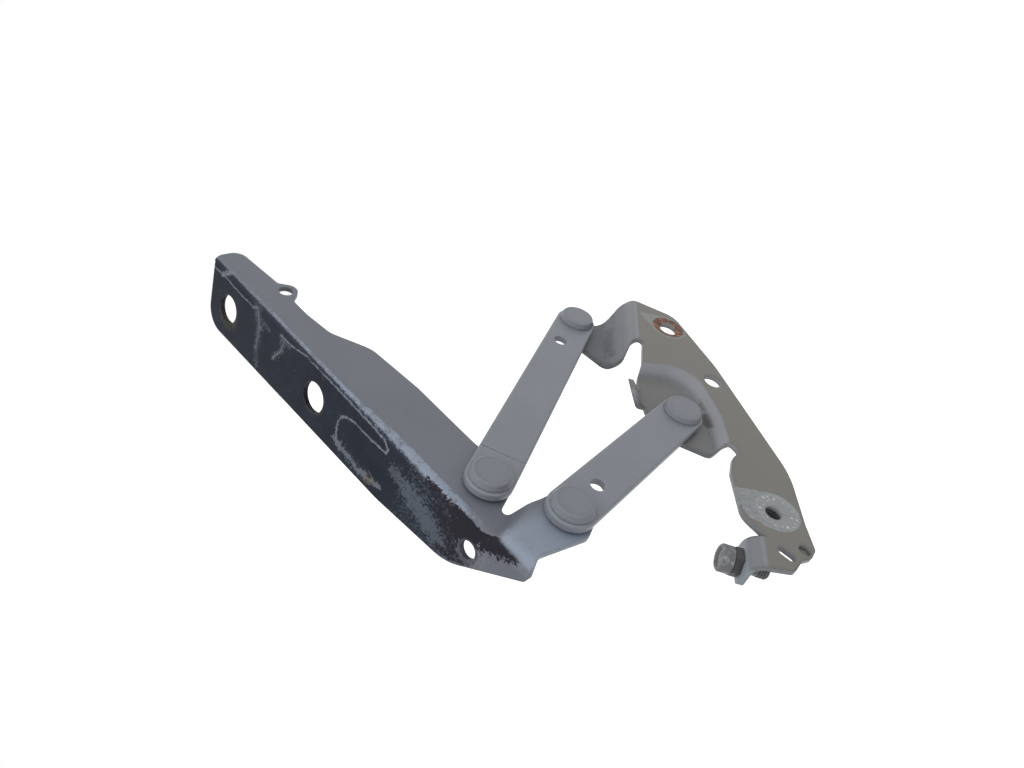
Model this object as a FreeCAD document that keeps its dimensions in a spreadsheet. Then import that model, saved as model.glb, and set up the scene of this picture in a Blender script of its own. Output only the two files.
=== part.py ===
"""Bonnet hinge: a pressed arm and a pressed body bracket joined by two flat links.

Frame: X forward along the line of the two body bolts, Y away from the rivet heads, Z up.
The origin is the centre of the front body bolt hole, on the face that its bolt head sits on.
Every size and place is a cell of the spreadsheet "sizes"; everything else follows from the cells.
"""
import FreeCAD
import Part
import Sketcher
import math
import os

doc = FreeCAD.newDocument("bonnet_hinge")
sizes = doc.addObject("Spreadsheet::Sheet", "sizes")
next_row = [1]
TINY = 0.01  # two lengths closer than this are taken as equal


def cell(alias, value, note=""):
    """Write one named value, with a note beside it."""
    row = next_row[0]
    sizes.set("A%d" % row, alias)
    sizes.set("B%d" % row, str(value))
    sizes.set("C%d" % row, note)
    sizes.setAlias("B%d" % row, alias)
    next_row[0] = row + 1


# Reach of the blank and of the shapes that cut it
cell("blank_rear", -230)
cell("blank_front", 60)
cell("blank_low", -60)
cell("blank_high", 100)
cell("tool_over", 10, "a pocket's tool runs past the blank by this")
cell("tool_far", 400)
cell("tool_near", 60)

# Sheet metal and levels along Y
cell("sheet_t", 3.0, "thickness of both pressings")
cell("link_t", 4.0, "thickness of both links")
cell("gap_under_link", 2.0, "from link to pressing, filled by bush flange and washer")
cell("drop_long", 16.3, "upper pivot flange of the bracket, below the mounting face")
cell("joggle_rise", 9.5, "short link level above long link level")
cell("drop_short", "=drop_long - joggle_rise")

# Pivot centres in the XZ plane
cell("pivot_c_x", 12.4, "bracket end of the long link")
cell("pivot_c_z", 58.7)
cell("pivot_a_x", -130.5, "arm end of the long link")
cell("pivot_a_z", 142.7)
cell("pivot_d_x", -82.4, "bracket end of the short link")
cell("pivot_d_z", 22.7)
cell("pivot_b_x", -156.2, "arm end of the short link")
cell("pivot_b_z", 110.2)

# Pivot hardware
cell("shank_r", 5.0, "rivet shank")
cell("running_fit", 0.05, "radial play of a shank in its bush")
cell("face_play", 0.05, "play between faces that slide on each other")
cell("bush_wall", 1.5)
cell("bush_flange_r", 9.5)
cell("head_top_r", 9.9, "flat of a rivet head")
cell("head_base_r", 11.2)
cell("head_h", 3.8)
cell("head_step_h", 0.9, "straight rim at the foot of a head")
cell("tail_r", 7.5, "upset tail behind the pressing")
cell("tail_h", 2.4)
cell("washer_r", 10.5)
cell("open_play", 1.8, "extra play at the arm end of the short link")

cell("head_edge_r", 1.2)
cell("head_foot_r", 0.8)
cell("tail_edge_r", 0.7)
cell("tail_draft", 0.8)

# Links
cell("link_half_w", 12.6)
cell("full_round", 0.985, "part of a half width that a round end takes")
cell("rim_r", 1.3, "rounded rim of a link")
cell("link_hole_r", 4.3, "tooling hole of the long link")
cell("link_hole_from_c", 29.8)
cell("link_hole_off", -2.4, "aside from the line of the pivots")
cell("short_hole_r", 4.1, "tooling hole of the short link")
cell("short_hole_from_b", 22.2)
cell("step_from_a", 18.0, "shallow step across the long link")
cell("step_depth", 0.35)
cell("step_w", 0.9)


def val(alias):
    return float(sizes.get(alias))


def group(label):
    """Start a body whose sketches sit on its own origin planes."""
    body = doc.addObject("PartDesign::Body", label)
    body.Label = label
    return body


def plane(body, role):
    return next(o for o in body.Origin.OriginFeatures if o.Role == role)


def place(obj, x="0", y="0", z="0", turn=None, axis=(0, 1, 0)):
    """Bind an object's place, and its turn about one axis."""
    obj.Placement = FreeCAD.Placement(FreeCAD.Vector(0, 0, 0), FreeCAD.Rotation(FreeCAD.Vector(*axis), 1.0))
    if turn is None:
        obj.Placement = FreeCAD.Placement()
    else:
        obj.setExpression("Placement.Rotation.Angle", turn)
    for name, text in (("x", x), ("y", y), ("z", z)):
        obj.setExpression("Placement.Base." + name, text)


def new_sketch(body, role, name):
    sk = body.newObject("Sketcher::SketchObject", name)
    sk.AttachmentSupport = [(plane(body, role), "")]
    sk.MapMode = "FlatFace"
    return sk


def pin(sk, geo, point, x_text, y_text):
    """Fix one sketch point at two bound distances from the sketch origin."""
    for kind, text in (("DistanceX", x_text), ("DistanceY", y_text)):
        index = sk.addConstraint(Sketcher.Constraint(kind, -1, 1, geo, point, evaluate(text)))
        sk.setExpression("Constraints[%d]" % index, text)


def arc_between(centre, radius, a, b):
    """Short arc between two points, drawn anticlockwise, and which of its ends is the first point."""
    angles = [math.atan2(p.y - centre.y, p.x - centre.x) for p in (a, b)]
    turn = (angles[1] - angles[0]) % (2 * math.pi)
    first = 1 if turn < math.pi else 2
    if first == 2:
        angles.reverse()
    full = Part.Circle(centre, FreeCAD.Vector(0, 0, 1), radius)
    return Part.ArcOfCircle(full, angles[0], angles[1]), first


def polygon(sk, points, rounds=None):
    """Closed outline through named corners, each a pair of bound coordinates.

    rounds gives some corners a radius: {corner number: bound radius}. A rounded corner keeps
    a pinned construction point where its two straight sides would meet.
    """
    rounds = rounds or {}
    spots = [FreeCAD.Vector(evaluate(a), evaluate(b), 0) for a, b in points]
    count = len(points)
    starts = list(spots)
    ends = [spots[(i + 1) % count] for i in range(count)]
    arcs = {}
    for i, radius_text in rounds.items():
        radius = evaluate(radius_text)
        back = (spots[i - 1] - spots[i]).normalize()
        ahead = (spots[(i + 1) % count] - spots[i]).normalize()
        half = back.getAngle(ahead) / 2
        reach = radius / math.tan(half)
        centre = spots[i] + (back + ahead).normalize() * (radius / math.sin(half))
        ends[i - 1] = spots[i] + back * reach
        starts[i] = spots[i] + ahead * reach
        arcs[i] = arc_between(centre, radius, ends[i - 1], starts[i])
    lines = [sk.addGeometry(Part.LineSegment(starts[i], ends[i]), False) for i in range(count)]
    for i, (a, b) in enumerate(points):
        if i not in rounds:
            sk.addConstraint(Sketcher.Constraint("Coincident", lines[i - 1], 2, lines[i], 1))
            pin(sk, lines[i], 1, a, b)
            continue
        arc, first = arcs[i]
        geo = sk.addGeometry(arc, False)
        sk.addConstraint(Sketcher.Constraint("Tangent", lines[i - 1], 2, geo, first))
        sk.addConstraint(Sketcher.Constraint("Tangent", geo, 3 - first, lines[i], 1))
        index = sk.addConstraint(Sketcher.Constraint("Radius", geo, evaluate(rounds[i])))
        sk.setExpression("Constraints[%d]" % index, rounds[i])
        corner = sk.addGeometry(Part.Point(spots[i]), True)
        sk.addConstraint(Sketcher.Constraint("PointOnObject", corner, 1, lines[i - 1]))
        sk.addConstraint(Sketcher.Constraint("PointOnObject", corner, 1, lines[i]))
        pin(sk, corner, 1, a, b)


def circle(sk, x_text, y_text, r_text):
    geo = sk.addGeometry(Part.Circle(FreeCAD.Vector(evaluate(x_text), evaluate(y_text), 0),
                                     FreeCAD.Vector(0, 0, 1), evaluate(r_text)), False)
    pin(sk, geo, 3, x_text, y_text)
    index = sk.addConstraint(Sketcher.Constraint("Radius", geo, evaluate(r_text)))
    sk.setExpression("Constraints[%d]" % index, r_text)


def evaluate(text):
    """Value of a bound expression now, used only to start the sketch near its solution."""
    result = sizes.evalExpression(text.replace("sizes.", ""))
    return float(getattr(result, "Value", result))


def s(text):
    """Expression text on the named cells, such as s('sheet_t + 1')."""
    words = ""
    token = ""
    for ch in text + " ":
        if ch.isalnum() or ch == "_":
            token += ch
            continue
        if token and token[0].isalpha() and token not in MATH:
            words += "sizes."
        words += token + ch
        token = ""
    return words.strip()


MATH = {"cos", "sin", "tan", "sqrt", "atan2", "atan", "pi", "mm", "deg"}


def pad(body, sk, length, midplane=False, reverse=False, name="pad"):
    feature = body.newObject("PartDesign::Pad", name)
    feature.Profile = sk
    feature.setExpression("Length", length)
    feature.Midplane = midplane
    feature.Reversed = reverse
    sk.Visibility = False
    return feature


def pocket_through(body, sk, name="holes"):
    feature = body.newObject("PartDesign::Pocket", name)
    feature.Profile = sk
    feature.Type = 1
    feature.Midplane = True
    sk.Visibility = False
    return feature


def pocket_to(body, sk, depth, name):
    """Blind pocket from the sketch's own plane."""
    feature = body.newObject("PartDesign::Pocket", name)
    feature.Profile = sk
    feature.setExpression("Length", depth)
    sk.Visibility = False
    return feature


def round_edges(body, base, test, radius, name="round", kind="PartDesign::Fillet"):
    """Round (or chamfer) the edges of base that pass a test on their midpoint and direction."""
    doc.recompute()
    picked = []
    for index, edge in enumerate(base.Shape.Edges, 1):
        middle = edge.valueAt((edge.FirstParameter + edge.LastParameter) / 2)
        if test(edge, middle):
            picked.append("Edge%d" % index)
    if not picked:
        raise RuntimeError("no edge to round: " + body.Label + " " + name)
    feature = body.newObject(kind, name)
    feature.Base = (base, picked)
    feature.setExpression("Radius" if kind.endswith("Fillet") else "Size", radius)
    return feature


# Foot tab
cell("foot_turn", 20.0, "tab leans back from the vertical by this")
cell("foot_bend_r", 9.0)
cell("foot_len", 18.8, "from the mounting face to the tab's tip")
cell("foot_w", 19.5)
cell("foot_lap", 0.5, "root and plate overlap by this either side of their joint line")
cell("foot_face_x", -168.5, "tab's upper face, at its front end")
cell("foot_edge_z", 20.95)
cell("foot_tip_r", 3.0)
cell("foot_root_x", "=foot_face_x - (foot_bend_r + foot_lap) * sin(foot_turn)", "joint line of tab and plate")
cell("foot_root_z", "=foot_edge_z - (foot_bend_r + foot_lap) * cos(foot_turn)")

# Bracket outline: name, x, z, corner radius, going round from the top of the upper pivot flange
BRACKET_OUTLINE = [
    ("flange_c_top", 25, 71.5, 11), ("flange_c_back", 2, 67, 8), ("flange_c_low", -33.5, 42, 5),
    ("notch_1_front", -14.5, 30.2, 3.2), ("notch_1_rear", -15.5, 24, 2.8),
    ("flange_d_front", -50, 37, 3), ("flange_d_top", -76, 41, 3), ("flange_d_rear", -97, 36.5, 9),
    ("flange_d_low", -110, 13, 5), ("notch_2_front", -104.5, 2, 3.4), ("notch_2_root", -112.5, -1, 3.4),
    ("notch_2_rear", -118, 6.2, 5), ("edge_mid", -128.5, 12, 12), ("edge_low", -158, 19.3, 12),
    ("foot_front", "=foot_root_x", "=foot_root_z", 1.2),
    ("foot_rear", "=foot_root_x - foot_w * cos(foot_turn)", "=foot_root_z + foot_w * sin(foot_turn)", 0),
    ("corner_low", -192, 6.5, 3.5), ("lobe_inner", -185.5, -1.2, 1.5), ("lobe_low", -184, -7.6, 3),
    ("lobe_tip", -179.5, -12.3, 4),
    ("long_edge_low", -163, -15.6, 60), ("long_edge_mid", -128, -25.4, 60), ("long_edge_high", -36, -19.6, 90),
    ("nose_low", 15.5, -10.2, 14), ("nose_front", 33.5, 20.5, 7), ("neck_low", 23.5, 31, 9),
    ("neck_high", 15.6, 44, 9), ("flange_c_front", 24.9, 56, 6),
]
for name, x, z, r in BRACKET_OUTLINE:
    cell(name + "_x", x)
    cell(name + "_z", z)
    cell(name + "_r", r)

# Walls of the bracket: the line where each wall leaves the mounting face, and where it meets its flange
cell("wall_c_rise_x", 24, "upper wall, mounting-face line, front end")
cell("wall_c_rise_z", 17)
cell("wall_c_slope", 0.3, "fall of that line per mm forward")
cell("wall_c_run", 17, "run of the upper wall")
cell("wall_c_rear_x", -37, "upper pocket reaches back to here, inside the first notch")
cell("wall_d_front_x", -41, "lower pocket, mounting-face outline")
cell("wall_d_low_z", -1.5)
cell("wall_d_rear_x", -113)
cell("wall_d_rear_z", 4.7)
cell("wall_d_run_front", 6)
cell("wall_d_run_low", 7.5)
cell("wall_d_corner_r", 17)
cell("wall_d_bend_r", 30)
cell("wall_d_bend_x", "=pivot_d_x - 2", "lower wall turns up toward the rear here")
cell("wall_back_shift", 1.3, "offset that keeps the sheet's thickness on a sloping wall")
cell("crease_c_r", 7, "upper wall, rounding at the mounting face")
cell("crease_c_foot_r", 5, "upper wall, rounding at its flange")
cell("crease_d_r", 4, "the same of the lower wall")
cell("crease_d_foot_r", 2)

# Holes of the bracket
cell("bolt_front_r", 6.0)
cell("bolt_rear_x", -156.1)
cell("bolt_rear_r", 4.4)
cell("locator_x", -51.5)
cell("locator_z", -11.0)
cell("locator_r", 5.6)
cell("slot_x", -182.0)
cell("slot_z", 5.9)
cell("slot_r", 2.5)
cell("slot_l", 4.5, "centre to centre")
cell("slot_turn", 38)
cell("dimple_x", -179.3, "blind round recess in the plate's end")
cell("dimple_z", -6.2)
cell("dimple_r", 3.3)
cell("dimple_depth", 2.2)

# Stop bolt on the foot tab
cell("stop_y", 13.0, "stop bolt axis behind the mounting face")
cell("stop_r", 4.0)
cell("stop_fit", 0.05)
cell("stop_head_r", 7.0)
cell("stop_head_h", 5.7)
cell("stop_dish_r", 4.6)
cell("stop_dish_h", 0.9)
cell("stop_dish_slope", 0.5)
cell("stop_head_edge", 0.7)
cell("stop_point", 0.8, "chamfer of the thread end")
cell("nut_chamfer", 0.6)
cell("stop_tail", 15.0, "from the tab's upper face to the thread end")
cell("stop_along", 9.5, "bolt axis from the front end of the tab")
cell("drill_reach", 15.0, "drill runs this far either side of the tab's face")
cell("lock_nut_af", 13.0)
cell("lock_nut_h", 4.4)
cell("nut_play", 0.1, "between lock nut and bolt head")
cell("stop_stand_off", "=lock_nut_h + nut_play", "from tab to underside of the head")
cell("weld_nut_af", 14.0)
cell("weld_nut_h", 6.5)
cell("weld_nut_bore_r", 3.4)

# Bonnet arm: web, bend line and flange
cell("bend_x", -15.1, "a point of the bend line")
cell("bend_z", 242.0)
cell("bend_turn", 32.7, "rise of the bend line, forward")
cell("bend_offset", 2.0, "flange face outside the bend line, at the web's level")
cell("flange_tilt", 8.0, "flange opens from square by this")
cell("bend_r", 5.0)
cell("bend_inner_r", 2.0)
cell("joggle_x", -148.6, "foot of the joggle")
cell("joggle_z", 135.4)
cell("joggle_turn", 53.1)
cell("joggle_run", 7.5)
cell("joggle_back", 1.45, "back creases shifted so that the sheet keeps its thickness")
cell("joggle_ridge_r", 8.0)
cell("joggle_foot_r", 5.0)
cell("bonnet_hole_front_s", 45.7, "along the bend line")
cell("bonnet_hole_front_y", 38.5)
cell("bonnet_hole_front_r", 8.7)
cell("bonnet_hole_rear_s", -43.7)
cell("bonnet_hole_rear_y", 36.4)
cell("bonnet_hole_rear_r", 8.9)
cell("guide_hole_s", -169.1)
cell("guide_hole_y", 30.3)
cell("guide_hole_r", 4.9)
cell("ear_hole_x", 13.9)
cell("ear_hole_z", "=bend_z - 1.9")
cell("ear_hole_r", 4.2)

# Arm web outline in XZ: name, x, z, corner radius; it runs outside the flange on its outer side
WEB_OUTLINE = [
    ("web_end_out", 36.5, "=bend_z + 47.4", 0), ("web_end_in", 50.3, "=bend_z + 25.9", 7),
    ("ear_root", 21.0, "=bend_z + 2.8", 3), ("ear_tip", 20.0, "=bend_z - 10.4", 6),
    ("ear_foot", 5.0, "=bend_z - 6.2", 3), ("back_high", -7, "=bend_z - 14", 25),
    ("back_dip", -22, "=bend_z - 26.5", 14), ("back_mid", -33, 193, 18), ("back_bulge", -63, 170, 60),
    ("back_low", -104, 144.0, 30), ("pad_a_front", -117, 131, 11), ("pad_a_low", -133, 130.5, 7),
    ("vee_root", -151.6, 142, 3.2), ("vee_b_side", -147.3, 122, 20), ("pad_b_front", -141, 112, 9),
    ("pad_b_low_front", -146, 98.3, 9), ("pad_b_low", -159, 97, 8), ("pad_b_rear", -169.3, 103.6, 6),
    ("web_rear", -180.2, 131, 8), ("web_rear_end", -184.5, 133.0, 1), ("web_rear_out", -191.6, "=bend_z - 98.7", 0),
]
# Flange outline along the bend line and along Y: name, distance along, y, corner radius
FLANGE_OUTLINE = [
    ("flange_far_top", 71, 0, 0), ("flange_far_low", 62.5, 57.2, 14), ("flange_low_mid", -108, 52.6, 80),
    ("flange_low_rear", -161, 46.4, 34), ("flange_rear_tip", -202, 17.8, 4), ("flange_rear_top", -199.5, 0, 0),
]
for name, x, z, r in WEB_OUTLINE:
    cell(name + "_x", x)
    cell(name + "_z", z)
    cell(name + "_r", r)
for name, along, y, r in FLANGE_OUTLINE:
    cell(name + "_s", along)
    cell(name + "_y", y)
    cell(name + "_r", r)

# Stop tab beside the lower pivot flange
cell("tab_x", -65.5)
cell("tab_z", 42.2)
cell("tab_w", 14.0)
cell("tab_h", 8.5)
cell("tab_turn", -10.0)
cell("tab_lean", 6.0)
cell("tab_root_z", -1.5)
cell("tab_root_l", 4.5, "overlap of the lip's root with its flange")
cell("tab_front_r", 1.5)
cell("tab_back_r", 4.0)
cell("tab_tip_r", 3.5)


def outline_prism(label, outline):
    """Upright prism through the sheet, cut to an outline with its own corner radii."""
    body = group(label)
    sk = new_sketch(body, "XZ_Plane", label + "_edge")
    rounds = {i: s(name + "_r") for i, (name, _, _, r) in enumerate(outline) if r > 0}
    polygon(sk, [(s(name + "_x"), s(name + "_z")) for name, *_ in outline], rounds)
    pad(body, sk, s("tool_far"), midplane=True)
    return body


def two_level_loft(body, kind, near_points, far_points, y_near, y_far, name, rounds=None):
    """Loft between two outlines at two levels along Y."""
    sections = []
    for points, level in ((near_points, y_near), (far_points, y_far)):
        sk = new_sketch(body, "XZ_Plane", name)
        sk.setExpression("AttachmentOffset.Base.z", "-(" + level + ")")
        polygon(sk, points, rounds)
        sk.Visibility = False
        sections.append(sk)
    loft = body.newObject(kind, name)
    loft.Profile = sections[0]
    loft.Sections = [sections[1]]
    loft.Ruled = False
    return loft


def pocket_c(back):
    """Upper pocket outlines at the mounting face and at its flange, moved back by a shift."""
    rise = "wall_c_rise_z - " + back
    near_line = []
    far_line = []
    front = "blank_front + tool_over"
    for x in (front, "wall_c_rear_x"):
        line = rise + " + wall_c_slope * (wall_c_rise_x - (%s))" % x
        near_line.append((s(x), s(line)))
        far_line.append((s(x), s(line + " + wall_c_run")))
    top = [(s("wall_c_rear_x"), s("blank_high + tool_over")), (s(front), s("blank_high + tool_over"))]
    return near_line + top, far_line + top


def pocket_d(back):
    """Lower pocket outlines at the mounting face and at its flange, moved back by a shift."""
    x = "wall_d_front_x + " + back
    low = "wall_d_low_z - " + back
    rear = "wall_d_rear_z - " + back
    rear_x = s("wall_d_rear_x")
    bend_x = s("wall_d_bend_x")
    top = s("blank_high + tool_over")
    near_points = [(s(x), top), (s(x), s(low)), (bend_x, s(low)), (rear_x, s(rear)), (rear_x, top)]
    run_x = x + " - wall_d_run_front"
    run_z = " + wall_d_run_low"
    far_points = [(s(run_x), top), (s(run_x), s(low + run_z)), (bend_x, s(low + run_z)),
                  (rear_x, s(rear + run_z)), (rear_x, top)]
    return near_points, far_points


def pocket_tool(label, key, back, start):
    """Solid that fills one drawn pocket, from a starting level to the pocket's depth behind it."""
    body = group(label)
    shape = {"c": pocket_c, "d": pocket_d}[key]
    depth = {"c": "drop_long", "d": "drop_short"}[key]
    near_points, far_points = shape(back)
    rounds = {"c": None, "d": {1: s("wall_d_corner_r"), 2: s("wall_d_bend_r")}}[key]
    two_level_loft(body, "PartDesign::AdditiveLoft", near_points, far_points,
                   s(start), s(start + " + " + depth), label + "_loft", rounds)
    return body


def bracket_sheet():
    """Flat plate with two drawn pockets, before its outline is cut."""
    blank = group("blank")
    sk = new_sketch(blank, "XZ_Plane", "blank_outline")
    polygon(sk, [(s("blank_rear"), s("blank_low")), (s("blank_front"), s("blank_low")),
                 (s("blank_front"), s("blank_high")), (s("blank_rear"), s("blank_high"))])
    pad(blank, sk, s("sheet_t"), reverse=True)
    backs = [pocket_tool("pocket_back_" + key, key, "wall_back_shift", "sheet_t") for key in "cd"]
    voids = [pocket_tool("pocket_void_" + key, key, "0", "sheet_t - sheet_t") for key in "cd"]
    formed = fuse("formed_outside", [blank] + backs)
    inside = fuse("formed_inside", voids)
    return cut("bracket_sheet", formed, inside)


def cut(label, base, tool):
    obj = doc.addObject("Part::Cut", label)
    obj.Base = base
    obj.Tool = tool
    obj.Refine = True
    return obj


def common(label, parts):
    obj = doc.addObject("Part::MultiCommon", label)
    obj.Shapes = parts
    return obj


def fuse(label, parts):
    obj = doc.addObject("Part::MultiFuse", label)
    obj.Shapes = parts
    obj.Refine = True
    return obj


def crease_edges(key, level):
    """Test for one drawn pocket's edges at one level, away from the borders of the blank."""
    low_x, high_x, low_z, high_z = [val("blank_" + side) for side in ("rear", "front", "low", "high")]
    between_pockets = (val("wall_c_rear_x") + val("wall_d_front_x")) / 2
    open_side = val("wall_%s_rear_x" % key)

    def test(edge, middle):
        levels = [v.Point.y for v in edge.Vertexes] + [middle.y]
        flat = all(abs(y - level) < TINY for y in levels)
        inside = low_x + 1 < middle.x < high_x - 1 and low_z + 1 < middle.z < high_z - 1
        own_side = (middle.x > between_pockets) == (key == "c")
        return flat and inside and own_side and abs(middle.x - open_side) > TINY
    return test


def softened_sheet():
    """The drawn sheet with its creases rounded on both faces, a sheet's thickness apart."""
    sheet = bracket_sheet()
    doc.recompute()
    body = group("bracket_soft")
    body.BaseFeature = sheet
    doc.recompute()
    last = body.Group[0]
    t = val("sheet_t")
    for key, drop in (("c", val("drop_long")), ("d", val("drop_short"))):
        top = "crease_%s_r" % key
        foot = "crease_%s_foot_r" % key
        for radius, level in ((top, 0.0), (top + " - sheet_t", t), (foot, drop), (foot + " + sheet_t", drop + t)):
            last = round_edges(body, last, crease_edges(key, level), s(radius), name="crease")
            doc.recompute()
    return body


def finish_body(label, base):
    """Body that carries on from a boolean result, with the node's own name."""
    body = group(label)
    body.BaseFeature = base
    doc.recompute()
    return body


def foot_tab():
    """Tab bent back from the plate's upper edge; it carries the stop bolt."""
    body = group("foot_tab")
    sk = new_sketch(body, "YZ_Plane", "foot_section")
    t = "sheet_t"
    # Section of the tab: down its outer face, across the tip, back along the plate
    polygon(sk, [("0", s("0 - foot_bend_r - 2 * foot_lap")), ("0", "0"), (s("foot_len"), "0"), (s("foot_len"), s("0 - " + t)),
                 (s(t), s("0 - " + t)), (s(t), s("0 - foot_bend_r - 2 * foot_lap"))],
            {1: s("foot_bend_r"), 4: s("foot_bend_r - " + t)})
    base = pad(body, sk, s("foot_w"))
    base = round_edges(body, base, lambda e, m: abs(m.y - val("foot_len")) < TINY and through_sheet(e),
                       s("foot_tip_r"), name="tip")
    place(body, s("foot_face_x - foot_w * cos(foot_turn)"), "0", s("foot_edge_z + foot_w * sin(foot_turn)"),
          s("foot_turn"))
    return body


def through_sheet(edge):
    """True for an edge that crosses a bent tip from one face of the sheet to the other."""
    return abs(edge.Vertexes[0].Point.z - edge.Vertexes[-1].Point.z) > 0.8 * val("sheet_t")


def stop_tab():
    """Small lip on the lower pivot flange, bent toward the links."""
    body = group("stop_tab")
    sk = new_sketch(body, "YZ_Plane", "tab_section")
    root = s("tab_root_z - tab_root_l")
    polygon(sk, [(s("drop_short + sheet_t"), root), (s("drop_short"), root), (s("drop_short"), s("tab_root_z")),
                 (s("drop_short - tab_h"), s("tab_lean")), (s("drop_short - tab_h"), s("tab_lean + sheet_t")),
                 (s("drop_short + sheet_t"), s("tab_root_z + sheet_t"))],
            {2: s("tab_front_r"), 5: s("tab_back_r")})
    base = pad(body, sk, s("tab_w"), midplane=True)
    base = round_edges(body, base, lambda e, m: abs(m.y - val("drop_short") + val("tab_h")) < TINY
                       and through_sheet(e), s("tab_tip_r"), name="tip")
    place(body, s("tab_x"), "0", s("tab_z"), s("0 - tab_turn"))
    return body


def bracket():
    sheet = softened_sheet()
    outline = outline_prism("bracket_outline", BRACKET_OUTLINE)
    plate = common("bracket_plate", [sheet, outline])
    formed = fuse("bracket_formed", [plate, foot_tab(), stop_tab()])
    whole = cut("bracket_whole", formed, foot_drill())
    doc.recompute()
    body = finish_body("body_bracket", whole)
    sk = new_sketch(body, "XZ_Plane", "round_holes")
    for x, z, r in (("0", "0", "bolt_front_r"), ("bolt_rear_x", "0", "bolt_rear_r"),
                    ("locator_x", "locator_z", "locator_r"),
                    ("pivot_c_x", "pivot_c_z", "shank_r"), ("pivot_d_x", "pivot_d_z", "shank_r")):
        circle(sk, s(x), s(z), s(r))
    pocket_through(body, sk)
    slot_sk = new_sketch(body, "XZ_Plane", "slot_edge")
    slot(slot_sk, "slot_x", "slot_z", "slot_l", "slot_r", "slot_turn")
    pocket_through(body, slot_sk, "slot")
    dimple_sk = new_sketch(body, "XZ_Plane", "dimple_edge")
    circle(dimple_sk, s("dimple_x"), s("dimple_z"), s("dimple_r"))
    pocket_to(body, dimple_sk, s("dimple_depth"), "dimple")
    return body


def slot(sk, x, z, length, radius, turn):
    """Slot made of two circles' hull, drawn as a rounded rectangle."""
    half = "(%s / 2 + %s)" % (length, radius)
    c = "cos(%s)" % turn
    w = "sin(%s)" % turn
    corners = []
    for a, b in ((1, 1), (-1, 1), (-1, -1), (1, -1)):
        px = "%s + %d * %s * %s - %d * %s * %s" % (x, a, half, c, b, radius, w)
        pz = "%s + %d * %s * %s + %d * %s * %s" % (z, a, half, w, b, radius, c)
        corners.append((s(px), s(pz)))
    round_end = s(radius + " * full_round")
    polygon(sk, corners, {i: round_end for i in range(4)})


def arm_frame(obj):
    """Frame of the flange: X along the bend line, Y across the sheet levels, Z out of the flange."""
    place(obj, s("bend_x"), "0", s("bend_z"), s("0 - bend_turn"))


def joggle_profile(label, above):
    """The web's two levels with the joggle between them: the sheet itself, or the space above it."""
    body = group(label)
    sk = new_sketch(body, "XY_Plane", label + "_section")
    high = "drop_short"
    low = "drop_long"
    run = "0 - joggle_run"
    ahead = s("tool_far")
    behind = s("0 - tool_far / 2")
    if above:
        points = [(ahead, s(low)), ("0", s(low)), (s(run), s(high)), (behind, s(high)),
                  (behind, s("0 - tool_near")), (ahead, s("0 - tool_near"))]
        rounds = {1: s("joggle_foot_r"), 2: s("joggle_ridge_r")}
    else:
        points = [(ahead, s(low)), ("0", s(low)), (s(run), s(high)), (behind, s(high)),
                  (behind, s(high + " + sheet_t")), (s(run + " - joggle_back"), s(high + " + sheet_t")),
                  (s("0 - joggle_back"), s(low + " + sheet_t")), (ahead, s(low + " + sheet_t"))]
        rounds = {1: s("joggle_foot_r"), 2: s("joggle_ridge_r"),
                  5: s("joggle_ridge_r - sheet_t"), 6: s("joggle_foot_r + sheet_t")}
    polygon(sk, points, rounds)
    pad(body, sk, s("2 * tool_far"), midplane=True)
    place(body, s("joggle_x"), "0", s("joggle_z"), s("0 - joggle_turn"))
    return body


def flange_face(y):
    """Height of the flange's outer face above the bend line, at one level along Y."""
    return "bend_offset + tan(flange_tilt) * (%s - drop_long)" % y


def flange_section(label, filled):
    """Extruded section in the flange frame: the flange's own sheet, or all that lies inside its face."""
    body = group(label)
    sk = new_sketch(body, "YZ_Plane", label + "_section")
    near = "(0 - tool_near)"
    far = "(2 * tool_near)"
    points = [(s(near), s(flange_face(near))), (s(far), s(flange_face(far)))]
    if filled:
        points += [(s(far), s("0 - tool_far")), (s(near), s("0 - tool_far"))]
    else:
        inner = " - sheet_t / cos(flange_tilt)"
        points += [(s(far), s(flange_face(far) + inner)), (s(near), s(flange_face(near) + inner))]
    polygon(sk, points)
    pad(body, sk, s("2 * tool_far"), midplane=True)
    arm_frame(body)
    return body


def flange_outline():
    """Side outline of the flange, as a block in the flange frame."""
    body = group("flange_outline")
    sk = new_sketch(body, "XY_Plane", "flange_edge")
    rounds = {i: s(name + "_r") for i, (name, _, _, r) in enumerate(FLANGE_OUTLINE) if r > 0}
    polygon(sk, [(s(name + "_s"), s(name + "_y")) for name, *_ in FLANGE_OUTLINE], rounds)
    pad(body, sk, s("tool_near"), midplane=True)
    arm_frame(body)
    return body


def flange_holes():
    """Pins that cut the three holes of the flange, square to its face."""
    body = group("flange_hole_pins")
    sk = new_sketch(body, "XY_Plane", "flange_holes")
    sk.AttachmentOffset = FreeCAD.Placement(FreeCAD.Vector(), FreeCAD.Rotation(FreeCAD.Vector(1, 0, 0), 1.0))
    sk.setExpression("AttachmentOffset.Rotation.Angle", s("flange_tilt"))
    sk.setExpression("AttachmentOffset.Base.y", s("drop_long"))
    sk.setExpression("AttachmentOffset.Base.z", s("bend_offset"))
    for name in ("bonnet_hole_front", "bonnet_hole_rear", "guide_hole"):
        circle(sk, s(name + "_s"), s("(%s_y - drop_long) / cos(flange_tilt)" % name), s(name + "_r"))
    pad(body, sk, s("tool_near"), midplane=True)
    arm_frame(body)
    return body


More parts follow.
